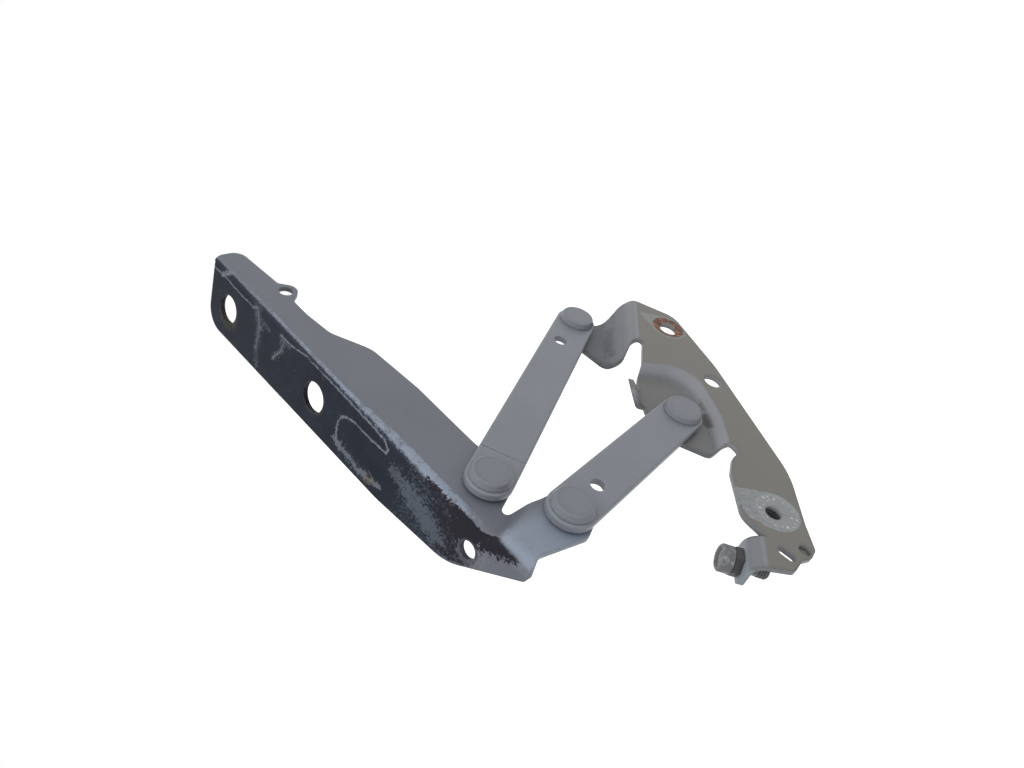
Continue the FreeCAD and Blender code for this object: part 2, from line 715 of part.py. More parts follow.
def bend_test(inner):
    """Test for the edges of the bend, on the flange's outer or inner face."""
    turn = math.radians(val("bend_turn"))
    tilt = math.radians(val("flange_tilt"))
    bend_end_gap = val("sheet_t")
    t = val("sheet_t")
    shift = t / math.cos(tilt) if inner else 0.0
    levels = [level + (t if inner else 0) for level in (val("drop_short"), val("drop_long"))]
    ends = (val("flange_rear_top_s"), val("flange_far_top_s"))

    def test(edge, middle):
        x = middle.x - val("bend_x")
        z = middle.z - val("bend_z")
        along = x * math.cos(turn) + z * math.sin(turn)
        out = z * math.cos(turn) - x * math.sin(turn)
        face = val("bend_offset") + math.tan(tilt) * (middle.y - val("drop_long")) - shift
        on_line = abs(out - face) < 5 * TINY and levels[0] - 0.1 < middle.y < levels[1] + 0.1
        return on_line and ends[0] + 1 < along < ends[1] - bend_end_gap
    return test


def bonnet_arm():
    web = common("arm_web", [joggle_profile("web_sheet", False), outline_prism("web_outline", WEB_OUTLINE),
                             flange_section("inside_flange", True)])
    blank = common("flange_blank", [flange_section("flange_sheet", False), flange_outline()])
    flange = cut("arm_flange", blank, joggle_profile("above_web", True))
    doc.recompute()
    pressed = cut("arm_pressed", fuse("arm_whole", [web, flange]), flange_holes())
    body = finish_body("bonnet_arm", pressed)
    round_edges(body, body.Group[0], bend_test(False), s("bend_r"), name="bend")
    doc.recompute()
    sk = new_sketch(body, "XZ_Plane", "web_holes")
    for x, z, r in (("pivot_a_x", "pivot_a_z", "shank_r"), ("pivot_b_x", "pivot_b_z", "shank_r"),
                    ("ear_hole_x", "ear_hole_z", "ear_hole_r")):
        circle(sk, s(x), s(z), s(r))
    pocket_through(body, sk, "web_holes_cut")
    return body


def between(a, b):
    """Pitch and rise angle from one pivot to another."""
    dx = "(pivot_%s_x - pivot_%s_x)" % (b, a)
    dz = "(pivot_%s_z - pivot_%s_z)" % (b, a)
    return "sqrt(%s * %s + %s * %s)" % (dx, dx, dz, dz), "atan2(%s; %s)" % (dz, dx)


def link(label, start, end, level, end_hole):
    """Flat link from its bracket pivot to its arm pivot, near face at one level."""
    body = group(label)
    pitch, angle = between(start, end)
    sk = new_sketch(body, "XZ_Plane", label + "_edge")
    w = "link_half_w"
    corners = [(s("0 - " + w), s("0 - " + w)), (s(pitch + " + " + w), s("0 - " + w)),
               (s(pitch + " + " + w), s(w)), (s("0 - " + w), s(w))]
    polygon(sk, corners, {i: s(w + " * full_round") for i in range(4)})
    base = pad(body, sk, s("link_t"), reverse=True)
    round_edges(body, base, lambda e, m: abs(m.y) < TINY, s("rim_r"), name="rim")
    holes = new_sketch(body, "XZ_Plane", label + "_holes")
    circle(holes, "0", "0", s("shank_r + running_fit + bush_wall"))
    circle(holes, s(pitch), "0", s(end_hole))
    if label == "long_link":
        circle(holes, s("link_hole_from_c"), s("link_hole_off"), s("link_hole_r"))
    else:
        circle(holes, s(pitch + " - short_hole_from_b"), "0", s("short_hole_r"))
    pocket_through(body, holes, label + "_drill")
    if label == "long_link":
        groove = new_sketch(body, "XZ_Plane", "step_line")
        left = pitch + " - step_from_a"
        polygon(groove, [(s(left), s("0 - " + w)), (s(left + " + step_w"), s("0 - " + w)),
                         (s(left + " + step_w"), s(w)), (s(left), s(w))])
        pocket_to(body, groove, s("step_depth"), "step")
    place(body, s("pivot_%s_x" % start), s(level), s("pivot_%s_z" % start), s("0 deg - " + angle))
    return body


def turned(label, points, rounds=None, role="XY_Plane", axis="V_Axis"):
    """Turned piece: half section as radius and height, revolved about the sketch's upright axis."""
    body = group(label)
    sk = new_sketch(body, role, label + "_section")
    polygon(sk, [(s(r), s(h)) for r, h in points], rounds)
    turn = body.newObject("PartDesign::Revolution", label + "_turn")
    turn.Profile = sk
    turn.ReferenceAxis = (sk, [axis])
    turn.Angle = 360
    sk.Visibility = False
    return body


# Each pivot: letter, spoken name, level of its pressing, whether it is the open pivot of the loop
PIVOTS = [("a", "arm_long", "drop_long", False), ("b", "arm_short", "drop_short", True),
          ("c", "bracket_long", "drop_long", False), ("d", "bracket_short", "drop_short", False)]


def pivot_set(letter, name, level, is_open):
    """Rivet, flanged bush and washer of one pivot."""
    near = level + " - gap_under_link - link_t"
    far = level + " - gap_under_link"
    under = near + " - face_play"
    back = level + " + sheet_t"
    rivet = turned("rivet_" + name, [
        ("0", under + " - head_h"), ("head_top_r", under + " - head_h"), ("head_base_r", under + " - head_step_h"),
        ("head_base_r", under), ("shank_r", under), ("shank_r", back), ("tail_r", back),
        ("tail_r - tail_draft", back + " + tail_h"), ("0", back + " + tail_h")],
        {1: s("head_edge_r"), 2: s("head_foot_r"), 7: s("tail_edge_r")})
    bore = "shank_r + running_fit"
    sleeve = bore + " + bush_wall"
    flange_near = far + " + face_play" if is_open else far
    flange_far = far + " + gap_under_link / 2" if is_open else far + " + gap_under_link / 2 - face_play"
    bush = turned("bush_" + name, [
        (bore, near), (sleeve, near), (sleeve, flange_near), ("bush_flange_r", flange_near),
        ("bush_flange_r", flange_far), (bore, flange_far)])
    washer = turned("washer_" + name, [
        (bore, far + " + gap_under_link / 2"), ("washer_r", far + " + gap_under_link / 2"),
        ("washer_r", level), (bore, level)])
    for piece in (rivet, bush, washer):
        place(piece, s("pivot_%s_x" % letter), "0", s("pivot_%s_z" % letter))
    return [rivet, bush, washer]


def hexagon(sk, across_flats, bore):
    corner = "%s / (2 * cos(30))" % across_flats
    polygon(sk, [(s("%s * cos(%d)" % (corner, a)), s("%s * sin(%d)" % (corner, a))) for a in range(0, 360, 60)])
    circle(sk, "0", "0", s(bore))


def nut(label, role, across_flats, height, bore, reverse):
    body = group(label)
    sk = new_sketch(body, role, label + "_hexagon")
    hexagon(sk, across_flats, bore)
    base = pad(body, sk, s(height), reverse=reverse)
    kept = "y" if role == "XZ_Plane" else "z"
    round_edges(body, base, lambda e, m: abs(getattr(m, kept)) > 0.5 and e.Curve.TypeId == "Part::GeomLine"
                and abs(getattr(m, kept) - getattr(e.Vertexes[0].Point, kept)) < TINY, s("nut_chamfer"),
                name="chamfer", kind="PartDesign::Chamfer")
    return body


def on_foot(piece):
    """Stand a piece on the foot tab's upper face, at the stop bolt's axis."""
    along = "stop_along"
    place(piece, s("foot_face_x - %s * cos(foot_turn)" % along), s("stop_y"),
          s("foot_edge_z + %s * sin(foot_turn)" % along), s("foot_turn"))


def stop_bolt():
    top = "stop_stand_off + stop_head_h"
    bolt = turned("stop_bolt", [
        ("0", top + " - stop_dish_h"), ("stop_dish_r", top + " - stop_dish_h"),
        ("stop_dish_r + stop_dish_slope", top), ("stop_head_r - stop_head_edge", top),
        ("stop_head_r", top + " - stop_head_edge"), ("stop_head_r", "stop_stand_off"),
        ("stop_r", "stop_stand_off"), ("stop_r", "stop_point - stop_tail"),
        ("stop_r - stop_point", "0 - stop_tail"), ("0", "0 - stop_tail")], role="XZ_Plane")
    on_foot(bolt)
    return bolt


def bracket_hardware():
    lock = nut("stop_lock_nut", "XY_Plane", "lock_nut_af", "lock_nut_h", "stop_r + stop_fit", False)
    on_foot(lock)
    weld = nut("rear_weld_nut", "XZ_Plane", "weld_nut_af", "weld_nut_h", "weld_nut_bore_r", True)
    place(weld, s("bolt_rear_x"), s("sheet_t"), "0")
    return [stop_bolt(), lock, weld]


def foot_drill():
    """Cylinder that clears the stop bolt through the foot tab."""
    drill = doc.addObject("Part::Cylinder", "foot_drill")
    drill.setExpression("Radius", s("stop_r + stop_fit"))
    drill.setExpression("Height", s("2 * drill_reach"))
    place(drill, s("foot_face_x - stop_along * cos(foot_turn) - drill_reach * sin(foot_turn)"), s("stop_y"),
          s("foot_edge_z + stop_along * sin(foot_turn) - drill_reach * cos(foot_turn)"), s("foot_turn"))
    return drill


def check(obj):
    """Stop the build on a piece that did not compute."""
    shape = obj.Shape
    bad = "Invalid" in obj.State or "Error" in obj.State
    if bad or shape.isNull() or not shape.isValid() or len(shape.Solids) != 1:
        raise RuntimeError("piece is not sound: %s %s" % (obj.Label, obj.State))


doc.recompute()
nodes = [bracket(), bonnet_arm()]
nodes.append(link("long_link", "c", "a", "drop_long - gap_under_link - link_t", "shank_r + running_fit + bush_wall"))
nodes.append(link("short_link", "d", "b", "drop_short - gap_under_link - link_t",
                  "shank_r + running_fit + bush_wall + open_play"))
for pivot in PIVOTS:
    nodes += pivot_set(*pivot)
nodes += bracket_hardware()
doc.recompute()
os.makedirs("parts", exist_ok=True)
for node in nodes:
    check(node)
    node.Shape.exportStep("parts/%s.step" % node.Label)
    print(node.Label, round(node.Shape.Volume), "cubic mm")
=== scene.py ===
# %% [markdown]
# # Bonnet hinge in its worn paint
# A pressed steel arm with a dark flange, two flat riveted links and a stepped body bracket.
# The CAD frame already holds every piece at its real size and place. This file gives each piece
# its finish, adds the small worn details that the solids leave out, and sets the studio.

# %% Load the frame
import math
import bpy
from mathutils import Matrix, Vector


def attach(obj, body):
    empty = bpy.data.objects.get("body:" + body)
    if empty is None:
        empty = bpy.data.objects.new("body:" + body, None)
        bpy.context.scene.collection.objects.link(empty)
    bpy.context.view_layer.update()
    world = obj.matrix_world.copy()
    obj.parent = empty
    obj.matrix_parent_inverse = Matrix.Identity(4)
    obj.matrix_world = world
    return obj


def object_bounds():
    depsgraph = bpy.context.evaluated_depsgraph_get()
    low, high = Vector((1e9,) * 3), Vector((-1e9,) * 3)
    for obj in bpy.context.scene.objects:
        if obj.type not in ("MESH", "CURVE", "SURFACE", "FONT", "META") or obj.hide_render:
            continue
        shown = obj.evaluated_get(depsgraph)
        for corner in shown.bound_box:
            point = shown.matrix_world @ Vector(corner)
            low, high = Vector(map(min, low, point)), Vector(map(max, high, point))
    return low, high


MM_PER_METRE = 1000.0

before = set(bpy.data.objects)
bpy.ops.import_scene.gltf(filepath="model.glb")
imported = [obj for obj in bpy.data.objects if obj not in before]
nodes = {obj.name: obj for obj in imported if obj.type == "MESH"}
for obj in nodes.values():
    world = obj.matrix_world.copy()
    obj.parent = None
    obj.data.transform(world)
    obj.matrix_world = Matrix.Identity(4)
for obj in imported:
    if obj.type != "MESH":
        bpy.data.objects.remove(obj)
cad_low, cad_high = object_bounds()
print("frame holds", len(nodes), "pieces")

# %% [markdown]
# ## Colours as the eye reads them
# Shader colours are linear, while a colour as it is judged is a display value from 0 to 255.
# One small function turns the second into the first, so each finish is named by what it looks like.

# %% Colour helper


def linear_part(value):
    """Linear share of light for one display value, by the standard display curve."""
    share = value / 255
    return ((share + 0.055) / 1.055) ** 2.4 if value > 10 else share / 12.92


def shade(red, green, blue):
    """Linear colour with alpha from display values of 0 to 255."""
    return (linear_part(red), linear_part(green), linear_part(blue), 1.0)


GREY_WEB = shade(119, 122, 132)
GREY_LINK = shade(133, 137, 146)
GREY_RIVET = shade(127, 131, 139)
GREY_OLIVE = shade(121, 119, 113)
WALL_SHEEN_BLUE = shade(126, 129, 134)
NAVY = shade(24, 31, 44)
NAVY_CLOUD = shade(36, 42, 56)
NAVY_SHEEN = shade(58, 65, 79)
UNDERCOAT = shade(88, 95, 108)
PALE_BLUE = shade(152, 164, 182)
BITUMEN = shade(44, 43, 51)
print("navy flange is", [round(c, 3) for c in NAVY[:3]])

# %% [markdown]
# ## A short hand for shader nodes
# Every finish below is a stack of layers: a colour and a roughness that replace what lies under
# them where a mask is white. `Wiring` keeps the calls that make nodes and links short enough to read.

# %% Wiring helper


class Wiring:
    """Thin wrapper on a node tree: most calls make a node and give back its output socket."""

    def __init__(self, tree):
        self.tree = tree

    def node(self, kind, inputs=None, **settings):
        made = self.tree.nodes.new(kind)
        for name, value in settings.items():
            setattr(made, name, value)
        for name, value in (inputs or {}).items():
            self.feed(made.inputs[name], value)
        return made

    def feed(self, socket, value):
        """Link an input to a socket or set its value. None leaves it as it is."""
        if isinstance(value, bpy.types.NodeSocket):
            self.tree.links.new(value, socket)
        elif value is not None:
            socket.default_value = value

    def maths(self, operation, a, b=None, clamp=False):
        made = self.node("ShaderNodeMath", {0: a, 1: b}, operation=operation, use_clamp=clamp)
        return made.outputs[0]

    def vector(self, operation, a, b=None, scale=None):
        made = self.node("ShaderNodeVectorMath", {0: a, 1: b}, operation=operation)
        if scale is not None:
            self.feed(made.inputs["Scale"], scale)
        return made.outputs["Value"] if operation in ("LENGTH", "DOT_PRODUCT") else made.outputs[0]

    def ramp(self, value, low, high, to_low=0.0, to_high=1.0):
        """Smooth step of a value between two levels."""
        words = {"Value": value, "From Min": low, "From Max": high, "To Min": to_low, "To Max": to_high}
        return self.node("ShaderNodeMapRange", words, interpolation_type="SMOOTHSTEP").outputs[0]

    def noise(self, vector, scale, detail=3.0, rough=0.55):
        words = {"Vector": vector, "Scale": scale, "Detail": detail, "Roughness": rough}
        return self.node("ShaderNodeTexNoise", words).outputs[0]

    def swing(self, value, width):
        """Value of 0 to 1 moved to lie about 0 and stretched to a width."""
        return self.maths("MULTIPLY", self.maths("SUBTRACT", value, 0.5), width)

    def mix(self, factor, under, over):
        """Mix of two colours. The node's colour sockets are inputs 6 and 7 and output 2."""
        return self.node("ShaderNodeMix", {0: factor, 6: under, 7: over}, data_type="RGBA").outputs[2]

    def blend(self, factor, under, over):
        """Mix of two numbers."""
        return self.node("ShaderNodeMix", {0: factor, 2: under, 3: over}, data_type="FLOAT").outputs[0]

    def axes(self, vector):
        return self.node("ShaderNodeSeparateXYZ", {0: vector}).outputs

    def join(self, x, y, z):
        return self.node("ShaderNodeCombineXYZ", {0: x, 1: y, 2: z}).outputs[0]

    def group(self, tree, **inputs):
        made = self.tree.nodes.new("ShaderNodeGroup")
        made.node_tree = tree
        for name, value in inputs.items():
            self.feed(made.inputs[name.replace("_", " ")], value)
        return made.outputs


def new_group(name, takes, gives):
    """Empty shader group with named inputs (name: kind or (kind, default)) and outputs."""
    tree = bpy.data.node_groups.new(name, "ShaderNodeTree")
    for label, kind in takes.items():
        kind, default = kind if isinstance(kind, tuple) else (kind, None)
        socket = tree.interface.new_socket(label, in_out="INPUT", socket_type="NodeSocket" + kind)
        if default is not None:
            socket.default_value = default
    for label, kind in gives.items():
        tree.interface.new_socket(label, in_out="OUTPUT", socket_type="NodeSocket" + kind)
    entry = tree.nodes.new("NodeGroupInput").outputs
    leave = tree.nodes.new("NodeGroupOutput").inputs
    return tree, Wiring(tree), entry, leave


# %% [markdown]
# ## Paint grain
# Electro-dipped paint on pressed steel has a fine orange-peel grain and slow cloudy changes of tone.
# Noise at two sizes gives both: the group puts out a tone to multiply the colour by and a bump height.

# %% Paint grain group
FINE_SHARE = 0.65

PAINT_GRAIN, w, entry, leave = new_group(
    "paint_grain", {"Place": "Vector", "Contrast": ("Float", 0.12)}, {"Tone": "Float", "Height": "Float"})
fine = w.noise(entry["Place"], 0.9, 4.0, 0.8)
cloud = w.noise(entry["Place"], 0.045, 3.0, 0.5)
both = w.maths("ADD", w.maths("MULTIPLY", fine, FINE_SHARE), w.maths("MULTIPLY", cloud, 1.0 - FINE_SHARE))
change = w.maths("MULTIPLY", w.swing(both, entry["Contrast"]), 2.0)
w.feed(leave["Tone"], w.maths("ADD", change, 1.0))
w.feed(leave["Height"], fine)
print("group", PAINT_GRAIN.name)

# %% [markdown]
# ## Ragged spot
# Stripped paint, rust and rings left by bolt heads are discs with a torn border. The group measures
# the distance to a centre, pushes it about with noise and cuts it at a radius.

# %% Ragged spot group
TEAR_REACH = 4.0

RAGGED_SPOT, w, entry, leave = new_group(
    "ragged_spot",
    {"Place": "Vector", "Centre": "Vector", "Squash": ("Vector", (1, 1, 1)), "Radius": ("Float", 10.0),
     "Edge": ("Float", 1.0), "Ragged": ("Float", 1.0), "Grain": ("Float", 0.5)},
    {"Mask": "Float"})
offset = w.vector("MULTIPLY", w.vector("SUBTRACT", entry["Place"], entry["Centre"]), entry["Squash"])
tear = w.swing(w.noise(entry["Place"], entry["Grain"], 5.0, 0.7), entry["Ragged"])
reach = w.maths("ADD", w.vector("LENGTH", offset), w.maths("MULTIPLY", tear, TEAR_REACH))
inner = w.maths("SUBTRACT", entry["Radius"], entry["Edge"])
w.feed(leave["Mask"], w.ramp(reach, entry["Radius"], inner))
print("group", RAGGED_SPOT.name)

# %% [markdown]
# ## Smear
# Dried glue, chips and dirt on the flange follow short straight runs with torn borders. The group
# measures the distance to a run between two points, swayed by noise, and fades from 1 inside to
# 0 at a width that changes evenly from one end to the other.

# %% Smear group
SMEAR, w, entry, leave = new_group(
    "smear",
    {"Place": "Vector", "From": "Vector", "To": "Vector", "Width": ("Float", 0.8),
     "End Width": ("Float", 0.8), "Sway": ("Float", 1.5), "Core": ("Float", 0.3)},
    {"Density": "Float"})
words = {"Vector": entry["Place"], "Scale": 0.3, "Detail": 3.0, "Roughness": 0.6}
drift = w.vector("SUBTRACT", w.node("ShaderNodeTexNoise", words).outputs[1], (0.5, 0.5, 0.5))
swayed = w.vector("ADD", entry["Place"], w.vector("SCALE", drift, scale=entry["Sway"]))
run = w.vector("SUBTRACT", entry["To"], entry["From"])
lead = w.vector("SUBTRACT", swayed, entry["From"])
run_squared = w.vector("DOT_PRODUCT", run, run)
share = w.maths("DIVIDE", w.vector("DOT_PRODUCT", lead, run), run_squared, clamp=True)
gap = w.vector("LENGTH", w.vector("SUBTRACT", lead, w.vector("SCALE", run, scale=share)))
swell = w.ramp(w.noise(entry["Place"], 0.5, 4.0, 0.7), 0.3, 0.7, 0.45, 1.6)
width = w.maths("MULTIPLY", w.blend(share, entry["Width"], entry["End Width"]), swell)
w.feed(leave["Density"], w.ramp(w.maths("DIVIDE", gap, width), 1.0, entry["Core"]))
print("group", SMEAR.name)

# %% [markdown]
# ## Specks
# A coat that wears off breaks up in specks: few where little of it is gone, and all but closed
# where much is. The group turns a density from 0 to 1 into such specks by cutting fine noise at a
# level that the density sets.

# %% Specks group
SPECK_CONTRAST = 2.6

SPECKS, w, entry, leave = new_group(
    "specks",
    {"Place": "Vector", "Density": ("Float", 0.5), "Scale": ("Float", 1.9), "Soft": ("Float", 0.16)},
    {"Mask": "Float"})
coarse = w.noise(entry["Place"], w.maths("MULTIPLY", entry["Scale"], 0.35), 2.0, 0.5)
fine = w.noise(entry["Place"], entry["Scale"], 3.0, 0.75)
grain = w.maths("ADD", w.maths("MULTIPLY", fine, 0.62), w.maths("MULTIPLY", coarse, 0.38))
density = w.maths("ADD", w.swing(grain, SPECK_CONTRAST), entry["Density"])
low = w.maths("SUBTRACT", 0.5, entry["Soft"])
high = w.maths("ADD", 0.5, entry["Soft"])
w.feed(leave["Mask"], w.ramp(density, low, high))
print("group", SPECKS.name)

# %% [markdown]
# ## Edge wear and sheen
# Paint thins on sheared edges and rounded rims, where it looks brighter. On the links and rivets the
# same mask also lays a painted highlight on the rims. The Bevel node compares a softened normal with
# the true one, and the difference is large only near an edge.

# %% Edge wear group
EDGE_WEAR_AND_SHEEN, w, entry, leave = new_group(
    "edge_wear_and_sheen", {"Place": "Vector", "Width": ("Float", 0.0012), "Strength": ("Float", 1.0)},
    {"Mask": "Float"})
soft = w.node("ShaderNodeBevel", {"Radius": entry["Width"]}, samples=4).outputs[0]
true = w.node("ShaderNodeNewGeometry").outputs["Normal"]
turn = w.maths("SUBTRACT", 1.0, w.vector("DOT_PRODUCT", soft, true))
rubbed = w.ramp(w.noise(entry["Place"], 0.9), 0.35, 0.6, 0.4, 1.0)
worn = w.maths("MULTIPLY", w.ramp(turn, 0.01, 0.12), rubbed)
w.feed(leave["Mask"], w.maths("MULTIPLY", worn, entry["Strength"]))
print("group", EDGE_WEAR_AND_SHEEN.name)

# %% [markdown]
# ## Bolt seat
# The two body bolts bit into the paint with serrated flanges and left bare rings with radial marks.
# The group splits a place around a centre into distance and angle: one gives the ring, the other
# its teeth. Marks fade out behind the plate's face, so that the pressed walls stay clean.

# %% Bolt seat group
MARKS_FULL = 1.5
MARKS_END = 2.5
SEAT_TEAR = 1.6

BOLT_SEAT, w, entry, leave = new_group(
    "bolt_seat",
    {"Place": "Vector", "Centre": "Vector", "Inner": ("Float", 6.0), "Outer": ("Float", 11.0),
     "Teeth": ("Float", 24.0)},
    {"Ring": "Float", "Teeth": "Float", "Rim": "Float"})
offset = w.axes(w.vector("SUBTRACT", entry["Place"], entry["Centre"]))
torn_edge = w.swing(w.noise(entry["Place"], 0.8, 4.0, 0.7), SEAT_TEAR)
reach = w.maths("ADD", w.vector("LENGTH", w.join(offset[0], 0.0, offset[2])), torn_edge)
angle = w.maths("ARCTAN2", offset[2], offset[0])
wave = w.maths("SINE", w.maths("MULTIPLY", angle, entry["Teeth"]))
within = w.ramp(reach, entry["Outer"], w.maths("SUBTRACT", entry["Outer"], 0.8))
beyond = w.ramp(reach, w.maths("SUBTRACT", entry["Inner"], 0.6), entry["Inner"])
near_plate = w.ramp(w.axes(entry["Place"])[1], MARKS_END, MARKS_FULL)
ring = w.maths("MULTIPLY", w.maths("MULTIPLY", within, beyond), near_plate)
half_start = w.maths("SUBTRACT", entry["Outer"], 4.5)
outer_half = w.ramp(reach, half_start, w.maths("SUBTRACT", entry["Outer"], 3.5))
teeth = w.maths("MULTIPLY", w.ramp(wave, -0.2, 0.5), outer_half)
from_rim = w.maths("ABSOLUTE", w.maths("SUBTRACT", reach, w.maths("SUBTRACT", entry["Outer"], 0.4)))
w.feed(leave["Ring"], ring)
w.feed(leave["Teeth"], w.maths("MULTIPLY", teeth, ring))
w.feed(leave["Rim"], w.maths("MULTIPLY", w.ramp(from_rim, 1.0, 0.3), near_plate))
print("group", BOLT_SEAT.name)

# %% [markdown]
# ## A coat of paint
# `Coat` starts a material from one paint and adds layers on top. Places are in millimetres, taken
# from Object coordinates, so each mark sits where it does on the real part and stays there in every
# pose. The shading of creases and edges is rounded over a coat's softness, in metres.

# %% Coat helper
GRAIN_STRENGTH = 0.3
GRAIN_DEPTH = 0.00004


class Coat(Wiring):
    """Material that is built up in layers over one paint."""

    def __init__(self, name, colour, roughness, contrast, metallic=0.0, specular=0.5, softness=0.0008):
        self.material = bpy.data.materials.new(name)
        self.material.use_nodes = True
        super().__init__(self.material.node_tree)
        self.shader = self.tree.nodes["Principled BSDF"]
        coordinates = self.node("ShaderNodeTexCoord").outputs
        self.place = self.vector("SCALE", coordinates["Object"], scale=MM_PER_METRE)
        self.facing = coordinates["Normal"]
        self.tone, self.height = self.group(PAINT_GRAIN, Place=self.place, Contrast=contrast)
        self.colour = colour
        self.roughness = roughness
        self.metallic = metallic
        self.specular = specular
        self.softness = softness

    def layer(self, mask, colour, roughness, metallic=None, specular=None):
        """Lay a paint over what is there, where the mask is white."""
        self.colour = self.mix(mask, self.colour, colour)
        self.roughness = self.blend(mask, self.roughness, roughness)
        if metallic is not None:
            self.metallic = self.blend(mask, self.metallic, metallic)
        if specular is not None:
            self.specular = self.blend(mask, self.specular, specular)

    def mottle(self, scale, detail, rough, low, high, to_low=0.0, to_high=1.0):
        """Patches: noise over the piece, stepped between two levels."""
        return self.ramp(self.noise(self.place, scale, detail, rough), low, high, to_low, to_high)

    def smears(self, place, runs, sway, core):
        """Density of several runs; each is (from, to, width) or (from, to, width, end width)."""
        parts = []
        for start, end, *widths in runs:
            smear = self.group(SMEAR, Place=place, From=(*start, 0.0), To=(*end, 0.0), Width=widths[0],
                               End_Width=widths[-1], Sway=sway, Core=core)
            parts.append(smear["Density"])
        return self.either(*parts)

    def specks(self, density, scale=1.9, soft=0.16):
        return self.group(SPECKS, Place=self.place, Density=density, Scale=scale, Soft=soft)["Mask"]

    def spot(self, centre, radius, edge, ragged, grain, squash=(1, 1, 1), place=None):
        """Disc with a torn border. A squash below 1 makes it longer along that axis."""
        return self.group(RAGGED_SPOT, Place=place or self.place, Centre=centre, Radius=radius, Edge=edge,
                          Ragged=ragged, Grain=grain, Squash=squash)["Mask"]

    def wear(self, width, strength):
        return self.group(EDGE_WEAR_AND_SHEEN, Place=self.place, Width=width, Strength=strength)["Mask"]

    def both(self, *masks):
        """Product of masks; a number among them is a strength."""
        out = masks[0]
        for mask in masks[1:]:
            out = self.maths("MULTIPLY", out, mask)
        return out

    def either(self, *masks):
        out = masks[0]
        for mask in masks[1:]:
            out = self.maths("MAXIMUM", out, mask)
        return out

    def finish(self):
        """Multiply in the tone, lay the grain as a bump and wire the shader."""
        toned = self.vector("SCALE", self.colour, scale=self.tone)
        self.feed(self.shader.inputs["Base Color"], toned)
        self.feed(self.shader.inputs["Roughness"], self.roughness)
        self.feed(self.shader.inputs["Metallic"], self.metallic)
        self.feed(self.shader.inputs["Specular IOR Level"], self.specular)
        soft = self.node("ShaderNodeBevel", {"Radius": self.softness}, samples=6).outputs[0]
        bump = self.node("ShaderNodeBump", {"Strength": GRAIN_STRENGTH, "Distance": GRAIN_DEPTH,
                                            "Height": self.height, "Normal": soft})
        self.feed(self.shader.inputs["Normal"], bump.outputs[0])
        return self.material


def dress(material, *names):
    """Put one material on CAD nodes in place of those they had."""
    for name in names:
        mesh = nodes[name].data
        mesh.materials.clear()
        mesh.materials.append(material)
    print(material.name, "on", ", ".join(names))


# %% [markdown]
# ## Arm: grey web, dark flange
# The flange that bolts to the bonnet lost its grey top coat where the bonnet's glue and rubber sat,
# and shows navy primer. The border lies along the bend, where the paint is worn to a pale speckled
# line. Two frames make this easy to place, both in millimetres. One is turned with the bend line:
# `along` grows toward the front and `across` runs over the flange, away from the web. The other is
# `fold`, which is 0 at the middle of the bend, falls over the web and grows over the flange.

# %% Arm frames
BEND_POINT = (-15.1, 0.0, 242.0)
BEND_TURN = math.radians(32.7)
WEB_LEVEL = 16.3
FLANGE_OUT = 2.0

arm = Coat("arm_paint", GREY_WEB, 0.42, 0.22, specular=0.35)
turned = arm.node("ShaderNodeMapping",
                  {"Vector": arm.place, "Location": BEND_POINT, "Rotation": (0, -BEND_TURN, 0)},
                  vector_type="TEXTURE").outputs[0]
along, across, out = arm.axes(turned)
on_flange = arm.join(along, across, 0.0)
outside = arm.ramp(out, -6.0, -3.5)
fold = arm.maths("ADD", arm.maths("SUBTRACT", across, WEB_LEVEL), arm.maths("SUBTRACT", out, FLANGE_OUT))
print("bend line rises", round(math.degrees(BEND_TURN), 1), "degrees")

# %% [markdown]
# Navy primer covers the flange up to the bend, where a painted sheen makes it lighter. Toward the
# rear it thins out, first to a mottled grey-blue, and ends before the tip, which is clean and grey
# and is darkened with painted shade.

# %% Navy primer
THIN_FIELD = [
    ((-112.0, 30.0), (-136.0, 35.0), 7.0, 10.0), ((-136.0, 35.0), (-158.0, 40.0), 10.0, 13.0),
]
TORN_WIDTH = 22.0

torn = arm.swing(arm.noise(arm.place, 0.25, 4.0, 0.7), TORN_WIDTH)
torn_along = arm.maths("ADD", along, torn)
thins = arm.ramp(torn_along, -128.0, -108.0, 0.62, 1.0)
ends = arm.ramp(torn_along, -172.0, -146.0)
cover = arm.both(arm.ramp(fold, -1.2, 2.2), thins, ends)
field = arm.both(arm.smears(on_flange, THIN_FIELD, sway=5.0, core=0.0), arm.ramp(across, 50.0, 44.0))
cover = arm.both(cover, arm.ramp(field, 0.75, 0.2, 0.45, 1.0))
navy_tone = arm.mix(arm.mottle(0.07, 4.0, 0.6, 0.35, 0.75), NAVY, NAVY_CLOUD)
# Painted sheen: the navy is made lighter near the bend.
bend_sheen = arm.both(arm.ramp(fold, 5.5, 1.5), 0.65)
navy_tone = arm.mix(bend_sheen, navy_tone, NAVY_SHEEN)
bared = arm.both(arm.ramp(fold, 1.0, 4.0), arm.ramp(torn_along, -176.0, -160.0))
arm.layer(bared, UNDERCOAT, 0.6, specular=0.2)
arm.layer(arm.specks(cover), navy_tone, 0.52, specular=0.13)

# Painted shade: the clean grey tip is darkened.
tip_shade = arm.both(arm.ramp(along, -172.0, -184.0), arm.ramp(fold, -2.0, 1.0))
arm.layer(arm.both(tip_shade, 0.85), shade(106, 110, 120), 0.45)
print("navy over an undercoat, thin in", len(THIN_FIELD), "runs")

# %% [markdown]
# The pale line on the bend is made of specks. It grows wider and stronger toward the rear, and
# slow noise breaks it up.

